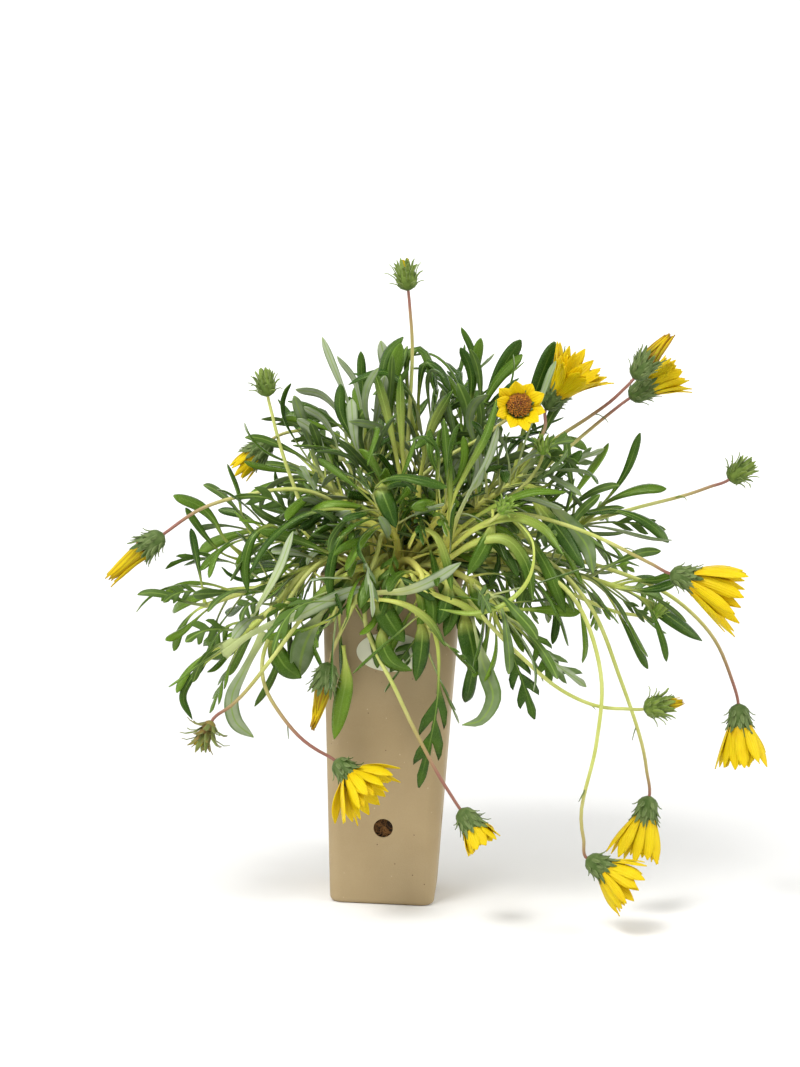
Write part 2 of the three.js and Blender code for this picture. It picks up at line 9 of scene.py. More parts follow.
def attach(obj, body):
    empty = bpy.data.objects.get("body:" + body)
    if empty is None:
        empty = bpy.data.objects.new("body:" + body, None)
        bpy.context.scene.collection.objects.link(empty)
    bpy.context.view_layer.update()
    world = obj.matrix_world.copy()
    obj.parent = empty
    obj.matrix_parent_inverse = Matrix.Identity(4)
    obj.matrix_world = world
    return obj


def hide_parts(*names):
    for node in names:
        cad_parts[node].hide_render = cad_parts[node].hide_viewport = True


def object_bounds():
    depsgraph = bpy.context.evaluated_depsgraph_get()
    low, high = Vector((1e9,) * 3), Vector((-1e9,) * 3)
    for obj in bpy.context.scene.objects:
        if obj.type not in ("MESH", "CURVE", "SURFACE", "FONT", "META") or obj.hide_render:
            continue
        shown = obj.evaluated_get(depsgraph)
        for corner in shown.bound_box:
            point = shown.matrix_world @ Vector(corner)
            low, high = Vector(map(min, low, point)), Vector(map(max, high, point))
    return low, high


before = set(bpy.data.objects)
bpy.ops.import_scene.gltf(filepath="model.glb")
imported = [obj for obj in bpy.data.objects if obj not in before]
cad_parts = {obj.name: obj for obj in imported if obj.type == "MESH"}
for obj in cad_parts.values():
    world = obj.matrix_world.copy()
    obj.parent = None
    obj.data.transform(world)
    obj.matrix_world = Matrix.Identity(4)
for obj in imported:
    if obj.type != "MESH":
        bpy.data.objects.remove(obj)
cad_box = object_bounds()

# ---------------------------------------------------------------------------------- the pot
# A tall, narrow, square pot that widens to the rim. It is moulded in one piece from flecked,
# recycled plastic, with a thicker lip, a rounded foot and round drain holes near the foot and in
# the floor. Sizes are in millimetres here and in the sections below, and MM turns them to metres.
MM = 0.001
POT_HEIGHT = 166
POT_BASE_HALF = 26
POT_RIM_HALF = 34
POT_WALL = 1.4
POT_FLOOR = 2
POT_CORNER = 6.6
POT_FOOT_ROUND = 2.4
LIP_OUT = 1.0
LIP_DEPTH = 5
RIM_ROUND = 0.45
SIDE_HOLE_RADIUS = 4.8
SIDE_HOLE_HEIGHT = 39.5
FLOOR_HOLE_RADIUS = 3.5
FLOOR_HOLE_OFFSET = 13
POT_TAN = (0.335, 0.245, 0.122, 1)
POT_PALE = (0.39, 0.295, 0.16, 1)
POT_FLECK_DARK = (0.13, 0.075, 0.04, 1)
POT_FLECK_LIGHT = (0.50, 0.40, 0.26, 1)


def pot_half(z):
    """Half the pot's width at a height, outside."""
    return POT_BASE_HALF + (POT_RIM_HALF - POT_BASE_HALF) * z / POT_HEIGHT


def pick(piece, kind, wanted):
    """Selects the vertices, edges or faces that pass the test, and nothing else, in edit mode."""
    bpy.ops.mesh.select_mode(type=kind)
    bpy.ops.mesh.select_all(action="DESELECT")
    shape = bmesh.from_edit_mesh(piece.data)
    for item in {"VERT": shape.verts, "EDGE": shape.edges, "FACE": shape.faces}[kind]:
        item.select_set(wanted(item))
    bmesh.update_edit_mesh(piece.data)


def start(name):
    """Names the primitive that was just added and puts its place into its mesh."""
    piece = bpy.context.object
    piece.name = name
    bpy.ops.object.transform_apply(location=True, rotation=True, scale=True)
    return piece


def raise_top(up, widen):
    """Extrudes the selected top face and widens it."""
    bpy.ops.mesh.extrude_region_move(TRANSFORM_OT_translate={"value": (0, 0, up * MM)})
    bpy.ops.transform.resize(value=(widen, widen, 1))


def cut_out(piece, cutters):
    """Cuts round drills out of a piece and takes the drills away."""
    for cutter in cutters:
        bpy.ops.object.select_all(action="DESELECT")
        bpy.context.view_layer.objects.active = piece
        cut = piece.modifiers.new("hole", "BOOLEAN")
        cut.object = cutter
        cut.operation = "DIFFERENCE"
        cut.solver = "EXACT"
        bpy.ops.object.modifier_apply(modifier=cut.name)
        bpy.data.objects.remove(cutter)


def drill(radius, length, place, turn):
    """A round bar to cut a hole with, lying along the given turn."""
    bpy.ops.object.select_all(action="DESELECT")
    bpy.ops.mesh.primitive_cylinder_add(
        vertices=40, radius=radius * MM, depth=length * MM, location=[c * MM for c in place], rotation=turn
    )
    return start("drill")


lip_foot = POT_HEIGHT - LIP_DEPTH
lip_half = pot_half(lip_foot + LIP_OUT) + LIP_OUT
rim_half = POT_RIM_HALF + LIP_OUT
inner_top = POT_RIM_HALF - POT_WALL
inner_base = pot_half(POT_FLOOR) - POT_WALL

bpy.ops.object.select_all(action="DESELECT")
bpy.ops.mesh.primitive_cube_add(
    size=1,
    location=(0, 0, lip_foot * MM / 2),
    scale=(2 * POT_BASE_HALF * MM, 2 * POT_BASE_HALF * MM, lip_foot * MM),
)
pot = start("square_pot")
bpy.ops.object.mode_set(mode="EDIT")
pick(pot, "EDGE", lambda e: abs(e.verts[0].co.z - e.verts[1].co.z) > 0.1)
bpy.ops.mesh.bevel(offset=POT_CORNER * MM, segments=8, affect="EDGES")
pick(pot, "FACE", lambda f: f.normal.z > 0.9)
widen = pot_half(lip_foot) / POT_BASE_HALF
bpy.ops.transform.resize(value=(widen, widen, 1))
raise_top(LIP_OUT, lip_half / pot_half(lip_foot))
raise_top(LIP_DEPTH - LIP_OUT, rim_half / lip_half)
bpy.ops.mesh.inset(thickness=(LIP_OUT + POT_WALL) * MM)
raise_top(POT_FLOOR - POT_HEIGHT, inner_base / inner_top)
pick(pot, "EDGE", lambda e: max(e.verts[0].co.z, e.verts[1].co.z) < 1e-5)
bpy.ops.mesh.bevel(offset=POT_FOOT_ROUND * MM, segments=4, affect="EDGES")
pick(pot, "EDGE", lambda e: min(e.verts[0].co.z, e.verts[1].co.z) > (POT_HEIGHT - 0.01) * MM)
bpy.ops.mesh.bevel(offset=RIM_ROUND * MM, segments=3, affect="EDGES")
bpy.ops.object.mode_set(mode="OBJECT")
across_pot = 2.4 * POT_RIM_HALF
drills = [
    drill(SIDE_HOLE_RADIUS, across_pot, (0, 0, SIDE_HOLE_HEIGHT), (math.pi / 2, 0, 0)),
    drill(SIDE_HOLE_RADIUS, across_pot, (0, 0, SIDE_HOLE_HEIGHT), (0, math.pi / 2, 0)),
]
for side in (-1, 1):
    for end in (-1, 1):
        place = (side * FLOOR_HOLE_OFFSET, end * FLOOR_HOLE_OFFSET, 0)
        drills.append(drill(FLOOR_HOLE_RADIUS, 3 * POT_FLOOR, place, (0, 0, 0)))
cut_out(pot, drills)
bpy.ops.object.select_all(action="DESELECT")
pot.select_set(True)
bpy.context.view_layer.objects.active = pot
bpy.ops.object.shade_smooth_by_angle(angle=math.radians(28))


def add(tree, kind, inputs=None, **settings):
    """Adds a shader node. An input that is given a socket is linked, and any other takes its value."""
    made = tree.nodes.new("ShaderNode" + kind)
    for name, value in settings.items():
        setattr(made, name, value)
    for name, value in (inputs or {}).items():
        socket = made.inputs[name]
        if isinstance(value, bpy.types.NodeSocket):
            tree.links.new(value, socket)
        else:
            socket.default_value = value
    return made


def mix(tree, share, low, high):
    """The colour that lies the given share of the way from low to high."""
    made = add(tree, "Mix", data_type="RGBA")
    for socket, value in ((made.inputs[0], share), (made.inputs[6], low), (made.inputs[7], high)):
        if isinstance(value, bpy.types.NodeSocket):
            tree.links.new(value, socket)
        else:
            socket.default_value = value
    return made.outputs[2]


def ramp(tree, value, low, high, to_low=0.0, to_high=1.0):
    """Spreads a value between low and high over another range, and stops at its ends."""
    made = add(
        tree,
        "MapRange",
        {"Value": value, "From Min": low, "From Max": high, "To Min": to_low, "To Max": to_high},
    )
    return made.outputs["Result"]


def finish_of(name, **plain):
    """A new material with its Principled shader; plain values are set on the shader's own sockets."""
    made = bpy.data.materials.new(name)
    made.use_nodes = True
    shader = made.node_tree.nodes["Principled BSDF"]
    for socket, value in plain.items():
        shader.inputs[socket.replace("_", " ")].default_value = value
    return made, made.node_tree, shader


def bump(tree, shader, height, distance, strength=1.0):
    """Raises the surface of a shader by a height that the pattern gives."""
    relief = add(tree, "Bump", {"Height": height, "Distance": distance * MM, "Strength": strength})
    tree.links.new(relief.outputs["Normal"], shader.inputs["Normal"])


# Uneven growth or moulding, which every material here shows: broad soft patches and a fine grain.
uneven = bpy.data.node_groups.new("uneven", "ShaderNodeTree")
uneven.interface.new_socket("Vector", in_out="INPUT", socket_type="NodeSocketVector")
uneven.interface.new_socket("Patch Scale", in_out="INPUT", socket_type="NodeSocketFloat")
uneven.interface.new_socket("Grain Scale", in_out="INPUT", socket_type="NodeSocketFloat")
uneven.interface.new_socket("Patches", in_out="OUTPUT", socket_type="NodeSocketFloat")
uneven.interface.new_socket("Grain", in_out="OUTPUT", socket_type="NodeSocketFloat")
given = uneven.nodes.new("NodeGroupInput").outputs
broad = add(uneven, "TexNoise", {"Vector": given["Vector"], "Scale": given["Patch Scale"], "Detail": 3})
fine = add(uneven, "TexNoise", {"Vector": given["Vector"], "Scale": given["Grain Scale"], "Detail": 2})
put_out = uneven.nodes.new("NodeGroupOutput").inputs
uneven.links.new(ramp(uneven, broad.outputs["Fac"], 0.3, 0.7), put_out["Patches"])
uneven.links.new(ramp(uneven, fine.outputs["Fac"], 0.25, 0.75), put_out["Grain"])


def unevenness(tree, patch_scale, grain_scale):
    """Places the uneven group on a piece's own coordinates; scales are per metre."""
    where = add(tree, "TexCoord").outputs["Object"]
    made = tree.nodes.new("ShaderNodeGroup")
    made.node_tree = uneven
    tree.links.new(where, made.inputs["Vector"])
    made.inputs["Patch Scale"].default_value = patch_scale
    made.inputs["Grain Scale"].default_value = grain_scale
    return where, made.outputs["Patches"], made.outputs["Grain"]


def flecks(tree, where, per_metre, size, kept):
    """A mask of small separate dots: one in each cell of a random pattern, of which a share is kept."""
    cells = add(tree, "TexVoronoi", {"Vector": where, "Scale": per_metre})
    dot = ramp(tree, cells.outputs["Distance"], size, size * 0.6)
    lot = add(tree, "SeparateColor", {"Color": cells.outputs["Color"]}).outputs["Red"]
    chosen = add(tree, "Math", {0: lot, 1: kept}, operation="LESS_THAN").outputs[0]
    return add(tree, "Math", {0: dot, 1: chosen}, operation="MULTIPLY").outputs[0]


pot_plastic, tree, shader = finish_of("pot_plastic", Specular_IOR_Level=0.35)
where, patches, grain = unevenness(tree, 28, 1400)
colour = mix(tree, patches, POT_TAN, POT_PALE)
colour = mix(tree, ramp(tree, grain, 0, 1, 0, 0.1), colour, POT_FLECK_LIGHT)
colour = mix(tree, flecks(tree, where, 330, 0.13, 0.1), colour, POT_FLECK_DARK)
colour = mix(tree, flecks(tree, where, 420, 0.16, 0.1), colour, POT_FLECK_LIGHT)
tree.links.new(colour, shader.inputs["Base Color"])
tree.links.new(ramp(tree, patches, 0, 1, 0.5, 0.62), shader.inputs["Roughness"])
bump(tree, shader, grain, 0.05)
pot.data.materials.append(pot_plastic)
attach(pot, "root")
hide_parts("pot")

# ---------------------------------------------------------------------------------- the label
# An oval sticker of coated paper, cut out in one piece and pressed onto the front wall, whose lean it
# follows. It is bare.
LABEL_HALF_WIDTH = 17
LABEL_HALF_HEIGHT = 9.8
LABEL_THICKNESS = 0.5
LABEL_EDGE = 0.6
LABEL_OFF_WALL = 0.02
LABEL_HEIGHT = 129
LABEL_X = 1.5
LABEL_CREAM = (0.80, 0.80, 0.62, 1)
LABEL_SHADE = (0.72, 0.73, 0.53, 1)
wall_lean = math.atan((POT_RIM_HALF - POT_BASE_HALF) / POT_HEIGHT)

label_out = pot_half(LABEL_HEIGHT) + LABEL_THICKNESS / 2 + LABEL_OFF_WALL
bpy.ops.object.select_all(action="DESELECT")
bpy.ops.mesh.primitive_cylinder_add(
    vertices=72,
    radius=1,
    depth=1,
    location=(LABEL_X * MM, -label_out * MM, LABEL_HEIGHT * MM),
    rotation=(math.pi / 2 + wall_lean, 0, 0),
    scale=(LABEL_HALF_WIDTH * MM, LABEL_HALF_HEIGHT * MM, LABEL_THICKNESS * MM),
)
label = start("oval_label")
bpy.ops.object.mode_set(mode="EDIT")
pick(label, "FACE", lambda f: len(f.verts) > 4 and f.normal.y < 0)
bpy.ops.mesh.inset(thickness=LABEL_EDGE * MM)
bpy.ops.transform.translate(value=(0, -0.06 * MM, 0))
bpy.ops.object.mode_set(mode="OBJECT")
bpy.ops.object.shade_smooth_by_angle(angle=math.radians(35))
label_paper, tree, shader = finish_of("label_paper", Specular_IOR_Level=0.4)
where, patches, grain = unevenness(tree, 60, 2500)
tree.links.new(mix(tree, patches, LABEL_CREAM, LABEL_SHADE), shader.inputs["Base Color"])
tree.links.new(ramp(tree, grain, 0, 1, 0.4, 0.55), shader.inputs["Roughness"])
bump(tree, shader, grain, 0.02)
label.data.materials.append(label_paper)
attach(label, "root")
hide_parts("label")

# ---------------------------------------------------------------------------------- the soil
# Dark peaty compost that fills the pot to just under the rim, loose and crumbly on top, with white
# grains of perlite. Thin roots have grown down to the drain holes and lie matted behind them.
SOIL_TOP = 161
SOIL_CROWN = 1.6
SOIL_GAP = 0.3
SOIL_CELLS = 56
CRUMBS = 240
PERLITE_GRAINS = 46
ROOTS_PER_HOLE = 20
ROOT_STEPS = 12
ROOT_STEP = 1.1
ROOT_REACH = 6.6
SOIL_DARK = (0.018, 0.012, 0.008, 1)
SOIL_BROWN = (0.07, 0.042, 0.024, 1)
PERLITE_WHITE = (0.82, 0.81, 0.77, 1)
PERLITE_GREY = (0.55, 0.54, 0.50, 1)
ROOT_PALE = (0.15, 0.07, 0.02, 1)
ROOT_DARK = (0.062, 0.028, 0.008, 1)
GOLDEN_ANGLE = math.pi * (3 - math.sqrt(5))


def random_from(seed):
    """Park-Miller random numbers between 0 and 1: a seed always gives the same plant."""
    state = seed

    def draw():
        nonlocal state
        state = (state * 16807) % 2147483647
        return state / 2147483647

    return draw


def onto_rounded_square(x, y, half, corner):
    """Moves a point of a square into the same square with round corners."""
    inner = half - corner
    if abs(x) <= inner or abs(y) <= inner:
        return x, y
    dx, dy = (abs(x) - inner) / corner, (abs(y) - inner) / corner
    reach = corner * max(dx, dy) / math.hypot(dx, dy)
    return math.copysign(inner + dx * reach, x), math.copysign(inner + dy * reach, y)


def soil_height(x, y):
    """The height of the loose surface: a low crown with lumps and crumbs."""
    away = min(1, math.hypot(x, y) / pot_half(SOIL_TOP))
    lumps = noise.fractal(Vector((x, y, 0)) * 0.16, 0.7, 2.1, 4)
    return SOIL_TOP - 1.2 + SOIL_CROWN * (1 - away * away) + 1.1 * lumps


soil_half = pot_half(SOIL_TOP) - POT_WALL - SOIL_GAP
bpy.ops.object.select_all(action="DESELECT")
bpy.ops.mesh.primitive_grid_add(
    x_subdivisions=SOIL_CELLS,
    y_subdivisions=SOIL_CELLS,
    size=2 * soil_half * MM,
    location=(0, 0, SOIL_TOP * MM),
)
soil = start("compost")
for corner in soil.data.vertices:
    x, y = onto_rounded_square(corner.co.x / MM, corner.co.y / MM, soil_half, POT_CORNER)
    corner.co = Vector((x, y, soil_height(x, y))) * MM
bpy.ops.object.mode_set(mode="EDIT")
pick(soil, "EDGE", lambda e: e.is_boundary)
bpy.ops.mesh.extrude_region_move(TRANSFORM_OT_translate={"value": (0, 0, 0)})
shape = bmesh.from_edit_mesh(soil.data)
floor_half = pot_half(POT_FLOOR) - POT_WALL - SOIL_GAP
for corner in shape.verts:
    if corner.select:
        corner.co.x *= floor_half / soil_half
        corner.co.y *= floor_half / soil_half
        corner.co.z = (POT_FLOOR + SOIL_GAP) * MM
bmesh.update_edit_mesh(soil.data)
bpy.ops.mesh.edge_face_add()
bpy.ops.mesh.select_all(action="SELECT")
bpy.ops.mesh.normals_make_consistent(inside=False)
bpy.ops.object.mode_set(mode="OBJECT")
bpy.ops.object.shade_smooth_by_angle(angle=math.radians(40))


def blank(piece):
    """A modelled shape as arrays, to be copied many times, and the shape itself taken away."""
    made = piece.data
    points = np.array([v.co[:] for v in made.vertices])
    faces = [tuple(f.vertices) for f in made.polygons]
    under = np.array([f.normal.z < -0.25 for f in made.polygons], int)
    bpy.data.objects.remove(piece)
    return {"points": points, "faces": faces, "under": under}


def gathered(name, parts, finishes):
    """One object from many small closed shapes. Each has its points in millimetres, its faces, the
    number of its finish for each face, and what its finish reads: along, across and tone."""
    points, faces, slots, count = [], [], [], 0
    marks = {"along": [], "across": [], "tone": []}
    for part in parts:
        points.append(part["points"])
        faces += [tuple(k + count for k in face) for face in part["faces"]]
        slots.append(np.broadcast_to(part["slot"], len(part["faces"])))
        for mark, values in marks.items():
            values.append(np.broadcast_to(part.get(mark, 0.0), len(part["points"])))
        count += len(part["points"])
    shape = bpy.data.meshes.new(name)
    shape.from_pydata((np.concatenate(points) * MM).tolist(), [], faces)
    shape.polygons.foreach_set("material_index", np.concatenate(slots).astype(np.int32))
    shape.polygons.foreach_set("use_smooth", np.ones(len(faces), bool))
    for mark, values in marks.items():
        made = shape.attributes.new(mark, "FLOAT", "POINT")
        made.data.foreach_set("value", np.concatenate(values).astype(np.float32))
    for finish in finishes:
        shape.materials.append(finish)
    piece = bpy.data.objects.new(name, shape)
    bpy.context.scene.collection.objects.link(piece)
    return piece


bpy.ops.object.select_all(action="DESELECT")
bpy.ops.mesh.primitive_ico_sphere_add(subdivisions=2, radius=1)
lump = start("lump")
for corner in lump.data.vertices:
    corner.co *= 1 + 0.5 * noise.noise(corner.co * 1.7)
lump = blank(lump)


def scattered_lumps(count, smallest, largest, seed, sunk):
    """Lumps strewn over the soil, each turned and squashed its own way and sunk into the surface."""
    draw = random_from(seed)
    parts = []
    for _ in range(count):
        x, y = ((2 * draw() - 1) * (soil_half - 3) for _ in range(2))
        size = smallest + (largest - smallest) * draw() ** 2
        turn = Quaternion((draw() - 0.5, draw() - 0.5, draw() - 0.5), 6.28 * draw()).to_matrix()
        squash = np.array([1, 0.6 + 0.5 * draw(), 0.5 + 0.4 * draw()]) * size
        points = (lump["points"] * squash) @ np.array(turn) + (x, y, soil_height(x, y) + size * sunk)
        parts.append({"points": points, "faces": lump["faces"], "slot": 0, "tone": draw()})
    return parts


def read(tree, mark):
    """What a finish reads at each point of a shape: along, across or tone."""
    return add(tree, "Attribute", attribute_name=mark).outputs["Fac"]


compost, tree, shader = finish_of("compost", Roughness=0.95, Specular_IOR_Level=0.2)
where, patches, grain = unevenness(tree, 120, 1100)
crumbly = add(tree, "Math", {0: patches, 1: grain}, operation="MULTIPLY").outputs[0]
tree.links.new(mix(tree, crumbly, SOIL_DARK, SOIL_BROWN), shader.inputs["Base Color"])
bump(tree, shader, grain, 0.9)
soil.data.materials.append(compost)
crumbs = gathered("soil_crumbs", scattered_lumps(CRUMBS, 0.5, 2.2, 21, 0.1), [compost])

perlite_finish, tree, shader = finish_of("perlite_grain", Roughness=0.9)
where, patches, grain = unevenness(tree, 900, 3000)
tree.links.new(mix(tree, patches, PERLITE_GREY, PERLITE_WHITE), shader.inputs["Base Color"])
bump(tree, shader, grain, 0.2)
perlite = gathered("perlite", scattered_lumps(PERLITE_GRAINS, 0.6, 1.9, 5, 0.35), [perlite_finish])
for piece in (soil, crumbs, perlite):
    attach(piece, "root")
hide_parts("soil")

tubes = {}


def tube(sides, pieces):
    """A closed round tube of radius 1 from y = 0 to y = 1, made once for each count of its faces."""
    if (sides, pieces) not in tubes:
        bpy.ops.object.select_all(action="DESELECT")
        bpy.ops.mesh.primitive_cylinder_add(
            vertices=sides, radius=1, depth=1, location=(0, 0.5, 0), rotation=(-math.pi / 2, 0, 0)
        )
        made = start("tube")
        bpy.ops.object.mode_set(mode="EDIT")
        pick(made, "EDGE", lambda e: abs(e.verts[0].co.y - e.verts[1].co.y) > 0.5)
        bpy.ops.mesh.subdivide(number_cuts=pieces - 1)
        bpy.ops.object.mode_set(mode="OBJECT")
        tubes[sides, pieces] = blank(made)
    return tubes[sides, pieces]


def laid(shape, line, width=1.0, depth=1.0):
    """The points of a shape, laid along a line: y runs from the line's start to its end, x goes across
    it and z out of its face. Width and depth may change from step to step of the line."""
    spine, ways, faces = line
    steps = np.arange(len(spine))
    at = shape["points"][:, 1] * (len(spine) - 1)

    def between(rows):
        return np.stack([np.interp(at, steps, rows[:, k]) for k in range(3)], axis=1)

    middle, way, face = between(spine), between(ways), between(faces)
    across = np.cross(way, face)
    across /= np.linalg.norm(across, axis=1, keepdims=True)
    face = np.cross(across, way)
    wide = np.interp(at, steps, np.broadcast_to(width, len(spine)))
    deep = np.interp(at, steps, np.broadcast_to(depth, len(spine)))
    x, z = shape["points"][:, 0] * wide, shape["points"][:, 2] * deep
    return middle + across * x[:, None] + face * z[:, None]


def framed(spine, side=(1, 0.3, 0.1)):
    """A line with its ways and with a face that turns no more than the line does."""
    spine = np.array(spine, float)
    ways = np.gradient(spine, axis=0)
    ways /= np.linalg.norm(ways, axis=1, keepdims=True)
    faces, side = [], np.array(side, float)
    for way in ways:
        side = side - way * side.dot(way)
        side /= np.linalg.norm(side)
        faces.append(side)
    return spine, ways, np.array(faces)


root_parts = []
draw = random_from(79)
hole_face = pot_half(SIDE_HOLE_HEIGHT) - POT_WALL - SOIL_GAP
for quarter in range(4):
    turn = np.array(Matrix.Rotation(quarter * math.pi / 2, 3, "Z"))
    for _ in range(ROOTS_PER_HOLE):
        tilt = 3.1 * draw()
        offset = 7.5 * (draw() - 0.5)
        bow = 9 * (draw() - 0.5)
        wave = 0.9 * draw()
        start_of_wave = 6.3 * draw()
        spine = []
        for step in range(ROOT_STEPS + 1):
            run = (step - ROOT_STEPS // 2) * ROOT_STEP
            rise = offset + bow * (run / ROOT_REACH) ** 2 + wave * math.sin(1.3 * run + start_of_wave)
            x = run * math.cos(tilt) - rise * math.sin(tilt)
            z = run * math.sin(tilt) + rise * math.cos(tilt)
            spine.append((x, -hole_face - 0.12 - 0.35 * draw(), SIDE_HOLE_HEIGHT + z))
        line = framed(np.array(spine) @ turn.T)
        girth = (0.14 + 0.4 * draw() ** 2) * np.linspace(1, 0.6, ROOT_STEPS + 1)
        shape = tube(6, ROOT_STEPS)
        root_parts.append({"points": laid(shape, line, girth, girth), "faces": shape["faces"], "slot": 0})
root_skin, tree, shader = finish_of("root_skin", Roughness=0.85, Specular_IOR_Level=0.2)
where, patches, grain = unevenness(tree, 300, 2500)
tree.links.new(mix(tree, patches, ROOT_DARK, ROOT_PALE), shader.inputs["Base Color"])
bump(tree, shader, grain, 0.05)
roots = gathered("roots_at_drain_holes", root_parts, [root_skin])
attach(roots, "root")

# ---------------------------------------------------------------------------------- where the stems run
# Every stem stands in its own hole in the compost, rises, leans over the rim and arches or hangs.
# A route gives the points that a stem passes, in millimetres; a head faces the way that is given.
STEM_SINK = 7
HOLE_SPREAD = 22
STALK_STEPS = 44
ROOM_CELL = 1.6
